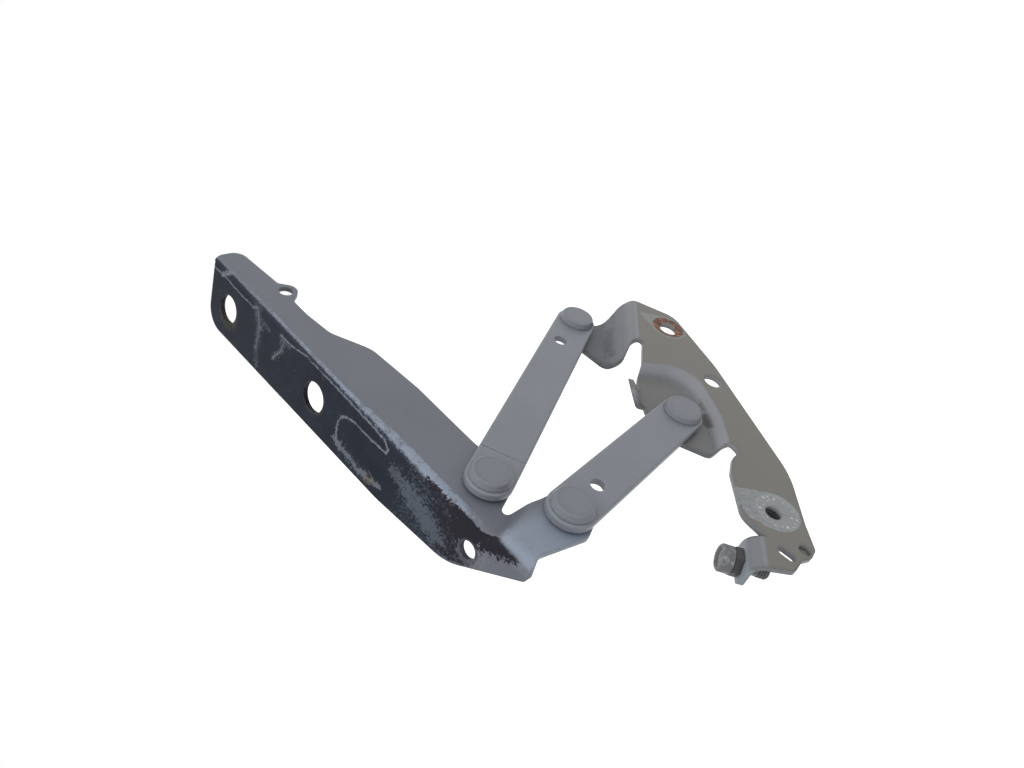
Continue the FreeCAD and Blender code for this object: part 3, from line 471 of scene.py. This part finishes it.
# %% Pale line on the bend
line_low = arm.ramp(along, 30.0, -100.0, 1.0, 5.0)
line_back = arm.ramp(along, -60.0, -110.0, -3.4, -6.4)
pale = arm.both(
    arm.ramp(fold, line_back, arm.maths("ADD", line_back, 2.2)),
    arm.ramp(fold, line_low, -1.8),
    arm.ramp(along, 55.0, 5.0, 0.12, 0.62),
    arm.ramp(along, -176.0, -150.0, 0.2, 1.0),
    arm.mottle(0.16, 4.0, 0.7, 0.36, 0.60, 0.40, 1.05),
    arm.ramp(along, -40.0, -85.0, 1.0, 1.4))
arm.layer(arm.both(arm.specks(pale, 2.6, 0.24), 0.9), PALE_BLUE, 0.4)
print("pale line laid on the bend")

# %% [markdown]
# Bitumen from the body clings round the guide hole: closed in the middle, with a tongue that points
# to the rear tip and specks that follow the bend forward.

# %% Bitumen
BITUMEN_CORE = [
    ((-158.0, 25.0), (-168.0, 27.0), 9.0), ((-166.0, 21.0), (-191.0, 12.5), 9.5, 4.5),
    ((-156.0, 17.5), (-176.0, 15.0), 5.5, 6.0),
]
BITUMEN_FRINGE = [
    ((-134.0, 18.0), (-156.0, 20.0), 5.0, 10.0), ((-148.0, 26.0), (-160.0, 36.0), 12.0, 11.0),
    ((-160.0, 38.0), (-174.0, 37.0), 9.0, 8.0), ((-154.0, 43.0), (-163.0, 41.5), 6.0, 5.0),
]

core = arm.smears(on_flange, BITUMEN_CORE, sway=5.0, core=0.4)
fringe = arm.smears(on_flange, BITUMEN_FRINGE, sway=5.0, core=0.0)
rear_cut = arm.ramp(arm.maths("SUBTRACT", across, arm.maths("MULTIPLY", along, 0.85)), 189.0, 181.0)
inner_edge = arm.ramp(along, -170.0, -184.0, -2.6, -9.5)
inner_cut = arm.ramp(fold, inner_edge, arm.maths("ADD", inner_edge, 3.2))
dirt = arm.both(arm.either(core, arm.both(fringe, 0.72)), rear_cut, inner_cut)
arm.layer(arm.specks(dirt, 1.7, 0.12), BITUMEN, 0.75, specular=0.12)
print("bitumen in", len(BITUMEN_CORE) + len(BITUMEN_FRINGE), "runs")

# %% [markdown]
# Dried glue left pale wandering lines, with broad smudges where they start. Each run is given by
# its two ends, along and across the flange, and by one or two widths.

# %% Glue lines and smudges
GLUE_LINES = [
    ((67.5, 22.8), (56, 21.8), 0.9), ((56, 21.8), (40, 22.8), 0.7), ((40, 22.8), (23.7, 22.6), 0.6),
    ((58, 22), (51.5, 17.4), 2.2, 1.6), ((24, 23), (19.5, 20.5), 0.9), ((-5.6, 21.9), (-16, 21.8), 0.8),
    ((-16, 21.8), (-28.5, 19.4), 0.8), ((-28.5, 19.4), (-56, 19.2), 0.5),
    ((-56, 19.2), (-90, 19.6), 0.5, 0.8), ((-90, 19.6), (-99.9, 20.0), 0.9),
    ((-99.9, 20.0), (-104.2, 22.6), 1.0), ((-104.2, 22.6), (-104, 25.6), 1.3),
    ((-104, 25.6), (-92, 26.6), 1.0), ((-92, 26.6), (-78.4, 26.7), 0.7),
    ((-78.4, 26.7), (-71.8, 28), 0.9), ((-71.8, 28), (-67.6, 31.1), 1.2),
    ((-67.6, 31.1), (-66.6, 38.3), 0.9), ((-66.6, 38.3), (-69.8, 45.5), 1.2),
    ((18.0, 22.0), (13.6, 31.0), 0.7), ((13.6, 31.0), (13.0, 43.0), 0.5),
    ((-9.5, 24.0), (-8.6, 31.0), 0.6), ((-8.6, 31.0), (-3.7, 38.8), 0.7, 0.9),
]
SMUDGES = [
    ((19.5, 21.5), (13.5, 30.0), 5.5, 4.5), ((14.0, 30.0), (12.5, 43.5), 4.5, 3.6),
    ((12.5, 43.5), (9.0, 52.5), 3.0, 3.4), ((14.0, 25.0), (5.0, 26.0), 3.4, 2.0),
    ((-6.8, 22.5), (-15.0, 23.5), 3.4, 2.2), ((-8.0, 23.0), (-9.5, 31.0), 4.2, 3.0),
    ((-9.0, 30.0), (-3.7, 38.8), 3.0, 2.6),
]

glue = arm.smears(on_flange, GLUE_LINES, sway=1.6, core=0.25)
crumbled = arm.mottle(1.1, 4.0, 0.7, 0.34, 0.58, 0.25, 1.0)
arm.layer(arm.both(glue, crumbled, outside), shade(136, 142, 152), 0.7, specular=0.2)
smudge = arm.ramp(arm.smears(on_flange, SMUDGES, sway=2.6, core=0.0), 0.0, 0.7)
patchy = arm.mottle(0.35, 5.0, 0.75, 0.38, 0.62, 0.1, 0.9)
arm.layer(arm.both(smudge, patchy, 0.72, outside), shade(108, 113, 122), 0.7, specular=0.2)
print(len(GLUE_LINES), "glue runs,", len(SMUDGES), "smudges")

# %% [markdown]
# Chips run along the lower edge and turn cream at one place. A faint haze lies over the front of
# the flange, four small spots have started to rust, and the bolt holes have brown rims.

# %% Chips, haze, rust and hole rims
CHIPS = [
    ((-67.0, 45.5), (-76.0, 47.0), 3.6, 5.0), ((-76.0, 46.5), (-92.0, 48.4), 5.5, 5.0),
    ((-92.0, 48.4), (-108.0, 45.5), 5.5, 3.0),
]
RUST_SPOTS = [((-98.5, 50.5), 1.4), ((-25.0, 46.0), 1.0), ((-46.5, 21.5), 1.2), ((-24.0, 33.0), 0.9)]
BOLT_HOLES = [((44.5, 41.0), 12.0, 0.56), ((-44.7, 36.6), 11.2, 0.6)]
GUIDE_HOLE = (-169.5, 31.0)

chipped = arm.specks(arm.both(arm.smears(on_flange, CHIPS, sway=5.0, core=0.0), 0.74), 1.2, 0.14)
cream = arm.spot((-100.5, 49.5, 0.0), 6.5, edge=3.0, ragged=1.0, grain=0.6, place=on_flange)
chip_tone = arm.mix(cream, shade(118, 124, 134), shade(130, 125, 119))
arm.layer(arm.both(chipped, outside, 0.85), chip_tone, 0.65)
haze = arm.both(arm.mottle(0.10, 5.0, 0.7, 0.50, 0.72), arm.ramp(along, -100.0, -80.0), 0.42)
arm.layer(arm.both(arm.specks(haze, 1.4, 0.2), arm.ramp(fold, 3.0, 7.0), 0.42), shade(84, 85, 87), 0.7)
for centre, radius in RUST_SPOTS:
    rust = arm.spot((*centre, 0.0), radius, edge=1.0, ragged=0.5, grain=0.9, place=on_flange)
    arm.layer(arm.both(rust, outside, 0.5), shade(104, 84, 72), 0.8)
for centre, radius, strength in BOLT_HOLES:
    brown = arm.spot((*centre, 0.0), radius, edge=3.0, ragged=1.0, grain=0.5, place=on_flange)
    brown = arm.specks(arm.both(brown, strength), 1.3, 0.2)
    arm.layer(arm.both(brown, 0.75, outside), shade(90, 80, 71), 0.75, specular=0.1)
rubbed = arm.spot((*GUIDE_HOLE, 0.0), 6.9, edge=0.8, ragged=0.5, grain=0.9, place=on_flange)
arm.layer(arm.both(rubbed, outside, 0.8), shade(92, 95, 102), 0.6)
print(len(CHIPS), "chip runs,", len(RUST_SPOTS), "rust spots,", len(BOLT_HOLES), "brown rims")

# %% [markdown]
# At the rear the web steps out in a joggle. Its slope gets painted shade, its ridge a soft painted
# highlight, and the pad behind it is clean and gets a lighter tone as painted light.

# %% Joggle and edges
RIDGE_HIGHLIGHT = [((-178.0, 10.0), (-200.0, 9.5), 2.6, 4.0)]

# Painted shade on the joggle's slope.
joggle_shade = arm.both(
    arm.ramp(along, -160.0, -170.0), arm.ramp(fold, -3.0, -7.0), arm.ramp(along, -186.0, -176.0))
arm.layer(arm.both(joggle_shade, arm.ramp(dirt, 0.3, 0.0), 0.85), shade(108, 112, 122), 0.45)
# Painted highlight along the joggle's ridge.
ridge_highlight = arm.both(arm.smears(on_flange, RIDGE_HIGHLIGHT, sway=0.6, core=0.0), arm.ramp(out, -7.0, -4.5))
arm.layer(arm.both(ridge_highlight, arm.ramp(fold, 0.6, -2.0), 0.6), shade(160, 170, 186), 0.4)
# Painted light on the pad behind the joggle.
pad_highlight = arm.both(arm.ramp(fold, -4.0, -8.0), arm.ramp(along, -176.0, -186.0))
arm.layer(arm.both(pad_highlight, 0.8), shade(150, 162, 178), 0.38)
arm.layer(arm.wear(0.0009, 0.30), shade(146, 149, 156), 0.4)
dress(arm.finish(), "bonnet_arm")

# %% [markdown]
# ## Bracket: olive-grey plate, with a bluish painted sheen on the pressed walls
# The plate is olive grey. The object's own normal tells plate from wall: the plate faces straight along Y.
# The walls get a bluish tone as a painted sheen, the creases a painted highlight, and the deep pivot
# flanges painted shade. `side` is the place along the bracket, counted from the front body bolt, and
# `level` the distance from the mounting face, which is large on the two pivot flanges.

# %% Bracket plate, walls and creases
bracket = Coat("bracket_paint", GREY_OLIVE, 0.48, 0.16, softness=0.0030)
side, level = bracket.axes(bracket.place)[:2]
lean = bracket.maths("ABSOLUTE", bracket.axes(bracket.facing)[1])
wall = bracket.ramp(lean, 0.995, 0.86)
# Bluish painted sheen on the walls.
bracket.layer(wall, WALL_SHEEN_BLUE, 0.36)
# Painted highlight along the creases between plate and wall.
crease_highlight = bracket.both(
    bracket.ramp(lean, 0.999, 0.98), bracket.ramp(lean, 0.90, 0.96), bracket.ramp(level, 6.0, 3.0))
bracket.layer(bracket.both(crease_highlight, 0.6), shade(142, 148, 160), 0.34)
# Painted shade on the deep pivot flanges, darker still on the front one.
flanges = bracket.both(bracket.ramp(level, 5.0, 8.0), bracket.ramp(lean, 0.8, 0.98))
bracket.layer(flanges, shade(106, 110, 110), 0.45)
front_part = bracket.ramp(side, -46.0, -38.0)
bracket.layer(bracket.both(flanges, front_part), shade(92, 98, 102), 0.5)
# Painted shade on the lower part of the front wall.
front_wall_shade = bracket.both(wall, front_part, bracket.ramp(level, 2.0, 7.0))
bracket.layer(bracket.both(front_wall_shade, 0.7), shade(104, 108, 114), 0.42)
print("creases softened over", bracket.softness, "m")

# %% [markdown]
# The rear wall gets a painted highlight near the plate and painted shade at its foot. The foot tab
# of the stop bolt gets a painted highlight, two painted shadows lie on the rear wall, and painted
# shade darkens the foot of the front wall.

# %% Bracket rear wall, foot tab and painted shadows
# Places of two painted shadows on the rear wall.
SHADOW_SPOTS = [((-71.0, 8.0, -1.0), 5.5, 0.9), ((-84.0, 8.0, 3.0), 5.0, 1.0)]

# Painted highlight on the rear wall near the plate, and painted shade at its foot.
behind = bracket.both(wall, bracket.ramp(side, -26.0, -34.0))
rear_wall_highlight = bracket.both(behind, bracket.ramp(side, -150.0, -120.0), bracket.ramp(level, 9.0, 5.0))
bracket.layer(bracket.both(rear_wall_highlight, 0.9), shade(148, 150, 156), 0.36)
rear_foot_shade = bracket.both(behind, bracket.ramp(side, -130.0, -110.0), bracket.ramp(level, 2.6, 6.4))
bracket.layer(bracket.both(rear_foot_shade, 0.7), shade(98, 101, 105), 0.42)
# Painted highlight on the foot tab.
foot_tab_highlight = bracket.both(bracket.ramp(side, -164.0, -170.0), bracket.ramp(level, 4.0, 7.0))
bracket.layer(foot_tab_highlight, shade(152, 160, 170), 0.40)
# Painted shadows: two dark spots on the rear wall.
painted_shadows = bracket.either(*[
    bracket.spot(centre, radius, edge=2.0, ragged=0.8, grain=0.3, squash=(0.6, 0.35, squash))
    for centre, radius, squash in SHADOW_SPOTS])
# Painted shade at the foot of the front wall.
wall_foot_shade = bracket.both(front_part, wall, bracket.ramp(level, 8.5, 12.5))
wall_foot_shade = bracket.both(wall_foot_shade, bracket.mottle(0.12, 3.0, 0.55, 0.3, 0.6))
bracket.layer(bracket.both(wall_foot_shade, 0.55), shade(70, 70, 72), 0.5)
bracket.layer(bracket.both(painted_shadows, bracket.ramp(level, 2.5, 5.0), 0.75), shade(62, 58, 56), 0.6)
print(len(SHADOW_SPOTS), "stains on the rear wall")

# %% [markdown]
# The front body bolt left a pale halo, drawn out to one side, and a rusty ring with orange blotches
# and dark crust.

# %% Front bolt seat
FRONT_SEAT = (1.9, 0.0, -0.6)
FRONT_HALO = [(2.0, -0.4, 12.8), (7.5, 5.5, 8.5), (11.0, 9.5, 5.5), (14.0, 13.0, 3.0)]

on_plate = bracket.ramp(level, MARKS_END, MARKS_FULL)
halo = bracket.either(*[
    bracket.spot((x, 0.0, z), radius, edge=1.2, ragged=0.6, grain=0.4, squash=(1.0, 0.3, 1.0))
    for x, z, radius in FRONT_HALO])
bracket.layer(bracket.both(halo, on_plate, 0.8), shade(144, 147, 148), 0.5)
rusty = bracket.group(BOLT_SEAT, Place=bracket.place, Centre=FRONT_SEAT, Inner=5.4, Outer=10.4, Teeth=11.0)
bracket.layer(rusty["Rim"], shade(88, 84, 86), 0.6)
bracket.layer(rusty["Ring"], shade(96, 82, 80), 0.85)
blotch = bracket.either(bracket.mottle(0.30, 4.0, 0.7, 0.49, 0.55), bracket.both(rusty["Teeth"], 0.3))
bracket.layer(bracket.both(rusty["Ring"], blotch, 0.9), shade(188, 126, 92), 0.85)
crust = bracket.mottle(1.0, 4.0, 0.8, 0.54, 0.62)
bracket.layer(bracket.both(rusty["Ring"], crust), shade(84, 50, 40), 0.9)
print("front seat at", FRONT_SEAT)

# %% [markdown]
# Round the rear body bolt the film is scraped off to a pale patch with a light rim. In it lies the
# bare ring, with bright flecks that the bolt's teeth left and small dark pits.

# %% Rear bolt seat
REAR_SEAT = (-155.0, 0.0, -3.0)
REAR_PATCH = [
    (-155.0, -1.0, 13.4), (-151.0, 5.5, 10.5), (-146.5, 10.5, 7.0), (-142.5, 15.0, 4.0),
    (-155.0, 9.0, 7.5),
]

patch = bracket.either(*[
    bracket.spot((x, 0.0, z), radius, edge=1.0, ragged=0.9, grain=0.35, squash=(1.0, 0.3, 0.9))
    for x, z, radius in REAR_PATCH])
patch = bracket.both(patch, on_plate)
bracket.layer(patch, shade(138, 142, 145), 0.45)
off_rim = bracket.both(bracket.maths("ABSOLUTE", bracket.maths("SUBTRACT", patch, 0.5)), 2.0)
bracket.layer(bracket.both(bracket.ramp(off_rim, 0.9, 0.2), on_plate, 0.7), shade(172, 177, 180), 0.4)
pale_chips = bracket.mottle(0.45, 5.0, 0.75, 0.44, 0.60)
bracket.layer(bracket.both(patch, pale_chips, 0.7), shade(158, 163, 167), 0.42)
scrapes = bracket.mottle(0.6, 5.0, 0.8, 0.58, 0.64)
bracket.layer(bracket.both(patch, scrapes, 0.8), shade(84, 88, 94), 0.5)
bare = bracket.group(BOLT_SEAT, Place=bracket.place, Centre=REAR_SEAT, Inner=4.6, Outer=11.2, Teeth=20.0)
bracket.layer(bracket.both(bare["Rim"], 0.7), shade(166, 170, 172), 0.4)
bracket.layer(bare["Ring"], shade(142, 145, 147), 0.42, metallic=0.2)
flecks = bracket.both(bare["Teeth"], bracket.mottle(0.45, 3.0, 0.6, 0.52, 0.60))
bracket.layer(flecks, shade(205, 211, 220), 0.3, metallic=0.3)
pits = bracket.mottle(0.9, 4.0, 0.8, 0.60, 0.66)
bracket.layer(bracket.both(bare["Ring"], pits, 0.7), shade(96, 98, 102), 0.5)
print("rear seat at", REAR_SEAT)

# %% [markdown]
# Small dark dents are strewn over the plate, and the sheared edges are rubbed bright.

# %% Bracket dents and edges
dents = bracket.mottle(0.35, 5.0, 0.8, 0.68, 0.73)
bracket.layer(bracket.both(dents, on_plate, 0.5), shade(92, 88, 84), 0.5)
bracket.layer(bracket.wear(0.0009, 0.4), shade(158, 160, 160), 0.4)
dress(bracket.finish(), "body_bracket")

# %% [markdown]
# ## Links and rivets
# Links and rivets were painted after riveting, in one satin grey with a few darker flecks. Their rims
# are lighter, partly from rubbed paint and partly as a painted highlight. The riveting tool stamped a
# faint step into each head, and a darker ring along it is painted shade. The ring lies round its own
# rivet, so each rivet has its own coat.

# %% Link and rivet finish
STAMP_RADIUS = 8.7
STAMP_WANDER = 0.8

link = Coat("link_paint", GREY_LINK, 0.40, 0.24)
link.layer(link.both(link.mottle(0.5, 5.0, 0.8, 0.62, 0.70), 0.7), shade(100, 102, 108), 0.5)
# Rims: partly rubbed paint, partly painted highlight.
link.layer(link.wear(0.0016, 0.65), shade(174, 181, 192), 0.30)
dress(link.finish(), "long_link", "short_link")

for name in [name for name in nodes if name.startswith("rivet_")]:
    box = [Vector(corner) * MM_PER_METRE for corner in nodes[name].bound_box]
    centre = sum(box, Vector()) / len(box)
    rivet = Coat("paint_" + name, GREY_RIVET, 0.42, 0.24)
    rivet.layer(rivet.both(rivet.mottle(0.6, 5.0, 0.8, 0.62, 0.70), 0.7), shade(102, 103, 108), 0.5)
    # A faint darker ring round each head: painted shade along its stamped step.
    around = rivet.vector("MULTIPLY", rivet.vector("SUBTRACT", rivet.place, tuple(centre)), (1.0, 0.0, 1.0))
    wander = rivet.maths("MULTIPLY", rivet.noise(rivet.place, 0.3), STAMP_WANDER)
    reach = rivet.maths("ADD", rivet.vector("LENGTH", around), wander)
    off_stamp = rivet.maths("ABSOLUTE", rivet.maths("SUBTRACT", reach, STAMP_RADIUS))
    rivet.layer(rivet.both(rivet.ramp(off_stamp, 0.9, 0.0), 0.22), shade(96, 98, 104), 0.5)
    # Rims: partly rubbed paint, partly painted highlight.
    rivet.layer(rivet.wear(0.0014, 0.7), shade(170, 176, 184), 0.32)
    dress(rivet.finish(), name)

# %% [markdown]
# ## Bolt, nuts, bushes and washers
# These kept their zinc: duller, slightly metallic and blotched.

# %% Small hardware finish
zinc = Coat("bolt_zinc", shade(104, 105, 109), 0.45, 0.25, metallic=0.25)
zinc.layer(zinc.mottle(0.35, 5.0, 0.8, 0.52, 0.60), shade(158, 160, 162), 0.4)
zinc.layer(zinc.mottle(0.7, 5.0, 0.8, 0.54, 0.66), shade(82, 82, 86), 0.55)
zinc.layer(zinc.wear(0.0006, 0.45), shade(164, 166, 168), 0.35)
dress(zinc.finish(), "stop_bolt")

dull = Coat("dull_steel", shade(74, 73, 73), 0.6, 0.25, metallic=0.4)
dull.layer(dull.mottle(0.5, 5.0, 0.8, 0.55, 0.75), shade(60, 54, 50), 0.7)
dull_names = [name for name in nodes if name.startswith(("bush_", "washer_"))]
dress(dull.finish(), "stop_lock_nut", "rear_weld_nut", *dull_names)

# %% [markdown]
# ## Knurl and thread of the stop bolt
# The bolt's head is knurled so that fingers can set the stop, and its thread end shows under the
# tab. Both repeat one small shape, so Geometry Nodes make them: ribs on a circle, and a four-sided
# profile swept along a spiral. Lengths are in metres, in the bolt's own frame.

# %% Geometry tree helper
BOLT_TURN = math.radians(20.0)
BOLT_FOOT = Vector((-0.17743, 0.013, 0.0242))
BOLT_FRAME = Matrix.Translation(BOLT_FOOT) @ Matrix.Rotation(BOLT_TURN, 4, "Y")


def new_geometry_tree(name, takes):
    """Geometry node tree with number inputs, and its output node."""
    tree = bpy.data.node_groups.new(name, "GeometryNodeTree")
    for label, kind in takes.items():
        tree.interface.new_socket(label, in_out="INPUT", socket_type="NodeSocket" + kind)
    tree.interface.new_socket("Geometry", in_out="OUTPUT", socket_type="NodeSocketGeometry")
    entry = tree.nodes.new("NodeGroupInput").outputs
    leave = tree.nodes.new("NodeGroupOutput").inputs
    return tree, Wiring(tree), entry, leave


def grown(name, tree, values, placing, body):
    """Run a geometry tree with values, keep the result as a plain mesh in place, and let it ride."""
    seed = bpy.data.objects.new(name + "_seed", bpy.data.meshes.new(name + "_seed"))
    bpy.context.scene.collection.objects.link(seed)
    modifier = seed.modifiers.new("grow", "NODES")
    modifier.node_group = tree
    for item in tree.interface.items_tree:
        if item.in_out == "INPUT":
            modifier[item.identifier] = values[item.name]
    bpy.context.view_layer.update()
    evaluated = seed.evaluated_get(bpy.context.evaluated_depsgraph_get())
    mesh = bpy.data.meshes.new_from_object(evaluated)
    bpy.data.objects.remove(seed)
    mesh.transform(placing)
    mesh.name = name
    piece = bpy.data.objects.new(name, mesh)
    bpy.context.scene.collection.objects.link(piece)
    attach(piece, body)
    print(name, len(mesh.polygons), "faces")


# %% Knurled ring
KNURL = {"Ribs": 40, "Radius": 0.00665, "Height": 0.0038}
KNURL_LEVEL = 0.0073
RIB_SIDES = 6
RIBS_SPAN = 3.6
RIB_SHARE = 0.6

tree, w, entry, leave = new_geometry_tree("knurl", {"Ribs": "Int", "Radius": "Float", "Height": "Float"})
circle = w.node("GeometryNodeCurvePrimitiveCircle", {"Resolution": entry["Ribs"], "Radius": entry["Radius"]})
tangent = w.node("GeometryNodeInputTangent").outputs[0]
aim = w.node("FunctionNodeAlignEulerToVector", {"Vector": tangent}, axis="X").outputs[0]
width = w.maths("DIVIDE", w.maths("MULTIPLY", entry["Radius"], RIBS_SPAN), entry["Ribs"])
words = {"Vertices": RIB_SIDES, "Depth": entry["Height"], "Radius": w.maths("MULTIPLY", width, RIB_SHARE)}
rib = w.node("GeometryNodeMeshCylinder", words)
words = {"Points": circle.outputs[0], "Instance": rib.outputs[0], "Rotation": aim}
ribs = w.node("GeometryNodeInstanceOnPoints", words).outputs[0]
solid = w.node("GeometryNodeRealizeInstances", {"Geometry": ribs}).outputs[0]
coated = w.node("GeometryNodeSetMaterial", {"Geometry": solid, "Material": zinc.material}).outputs[0]
w.feed(leave["Geometry"], coated)
head_middle = Matrix.Translation((0, 0, KNURL_LEVEL))
grown("stop_bolt_knurl", tree, KNURL, BOLT_FRAME @ head_middle, "bracket")

# %% Thread end
THREAD = {"Turns": 4.0, "Radius": 0.0038, "Pitch": 0.00125}
THREAD_LEVEL = -0.0142
STEPS_PER_TURN = 24
PROFILE_SIDES = 4
PROFILE_SHARE = 0.42

tree, w, entry, leave = new_geometry_tree("thread", {"Turns": "Float", "Radius": "Float", "Pitch": "Float"})
spiral = w.node("GeometryNodeCurveSpiral", {
    "Resolution": STEPS_PER_TURN, "Rotations": entry["Turns"],
    "Start Radius": entry["Radius"], "End Radius": entry["Radius"],
    "Height": w.maths("MULTIPLY", entry["Turns"], entry["Pitch"])})
profile = w.node("GeometryNodeCurvePrimitiveCircle", {
    "Resolution": PROFILE_SIDES, "Radius": w.maths("MULTIPLY", entry["Pitch"], PROFILE_SHARE)})
words = {"Curve": spiral.outputs[0], "Profile Curve": profile.outputs[0], "Fill Caps": True}
swept = w.node("GeometryNodeCurveToMesh", words).outputs[0]
coated = w.node("GeometryNodeSetMaterial", {"Geometry": swept, "Material": dull.material}).outputs[0]
w.feed(leave["Geometry"], coated)
thread_end = Matrix.Translation((0, 0, THREAD_LEVEL))
grown("stop_bolt_thread", tree, THREAD, BOLT_FRAME @ thread_end, "bracket")

# %% [markdown]
# ## Studio
# A photographer's table: a white floor well under the hinge, a sky that is brightest toward one
# upper side, and one soft lamp from there. Camera and mirror rays see plain white in floor and sky,
# so the background stays white while the light keeps the object at its own tone.

# %% Floor
FLOOR_LEVEL = -0.09
FLOOR_HALF = 6.0
FLOOR_TONE = 0.45
FLOOR_ROUGHNESS = 0.9
FLOOR_GLOW = 0.9
WHITE = (1.0, 1.0, 1.0, 1.0)


def seen_white(wires):
    """Mask that is 1 for camera, glossy and transmission rays."""
    path = wires.node("ShaderNodeLightPath").outputs
    seen = wires.maths("MAXIMUM", path["Is Camera Ray"], path["Is Glossy Ray"])
    return wires.maths("MAXIMUM", seen, path["Is Transmission Ray"])


floor_mesh = bpy.data.meshes.new("floor")
floor_ends = ((-FLOOR_HALF, -FLOOR_HALF), (FLOOR_HALF, -FLOOR_HALF),
              (FLOOR_HALF, FLOOR_HALF), (-FLOOR_HALF, FLOOR_HALF))
floor_mesh.from_pydata([(x, y, FLOOR_LEVEL) for x, y in floor_ends], [], [(0, 1, 2, 3)])
floor = bpy.data.objects.new("floor", floor_mesh)
bpy.context.scene.collection.objects.link(floor)
floor_paint = bpy.data.materials.new("floor_paper")
floor_paint.use_nodes = True
w = Wiring(floor_paint.node_tree)
paper = floor_paint.node_tree.nodes["Principled BSDF"].inputs
w.feed(paper["Base Color"], (FLOOR_TONE, FLOOR_TONE, FLOOR_TONE, 1.0))
w.feed(paper["Roughness"], FLOOR_ROUGHNESS)
w.feed(paper["Emission Color"], WHITE)
w.feed(paper["Emission Strength"], w.maths("MULTIPLY", seen_white(w), FLOOR_GLOW))
floor_mesh.materials.append(floor_paint)
print("floor at", FLOOR_LEVEL, "m")

# %% Sky
LIGHT_FROM = Vector((-0.16, -0.70, 0.70)).normalized()
SKY_LOW = 0.20
SKY_HIGH = 0.93
SKY_LOW_UNTIL = -0.6

world = bpy.data.worlds.new("studio")
bpy.context.scene.world = world
world.use_nodes = True
w = Wiring(world.node_tree)
sky = world.node_tree.nodes["Background"].inputs
ray = w.node("ShaderNodeTexCoord").outputs["Generated"]
toward = w.vector("DOT_PRODUCT", ray, tuple(LIGHT_FROM))
light = w.ramp(toward, SKY_LOW_UNTIL, 1.0, SKY_LOW, SKY_HIGH)
w.feed(sky["Color"], WHITE)
w.feed(sky["Strength"], w.blend(seen_white(w), light, 1.0))
print("sky from", SKY_LOW, "to", SKY_HIGH)

# %% [markdown]
# ## Camera and lamp
# The camera's place, axes and lens were matched to the photo. The hinge lies on its side there: its
# upward direction points to the left of the picture.

# %% Camera
CAMERA_PLACE = Vector((-0.37534, -0.2442, 0.25551))
CAMERA_BACK = Vector((-0.7371, -0.5941, 0.3219)).normalized()
CAMERA_RIGHT = Vector((-0.1909, -0.2738, -0.9426)).normalized()
CAMERA_LENS = 27.07
SENSOR_WIDTH = 36.0
NEAREST_SEEN = 0.01


def facing_frame(right, up, back, place):
    """World matrix of a camera or lamp from its own axes."""
    turn = Matrix((right, up, back)).transposed().to_4x4()
    return Matrix.Translation(place) @ turn


camera_up = CAMERA_BACK.cross(CAMERA_RIGHT)
camera = bpy.data.objects.new("camera", bpy.data.cameras.new("camera"))
camera.data.lens = CAMERA_LENS
camera.data.sensor_width = SENSOR_WIDTH
camera.data.clip_start = NEAREST_SEEN
camera.matrix_world = facing_frame(CAMERA_RIGHT, camera_up, CAMERA_BACK, CAMERA_PLACE)
bpy.context.scene.collection.objects.link(camera)
bpy.context.scene.camera = camera
print("camera with a lens of", CAMERA_LENS, "mm")

# %% Lamp
LAMP_DISTANCE = 1.1
LAMP_SIZE = 0.8
LAMP_POWER = 1.0

middle = (cad_low + cad_high) / 2
lamp_light = bpy.data.lights.new("window", "AREA")
lamp_light.size = LAMP_SIZE
lamp_light.energy = LAMP_POWER
lamp = bpy.data.objects.new("window", lamp_light)
lamp_right = camera_up.cross(LIGHT_FROM).normalized()
lamp_up = LIGHT_FROM.cross(lamp_right)
lamp.matrix_world = facing_frame(lamp_right, lamp_up, LIGHT_FROM, middle + LIGHT_FROM * LAMP_DISTANCE)
bpy.context.scene.collection.objects.link(lamp)
bpy.context.scene.view_settings.view_transform = "Standard"
print("lamp at", [round(v, 2) for v in lamp.matrix_world.translation])
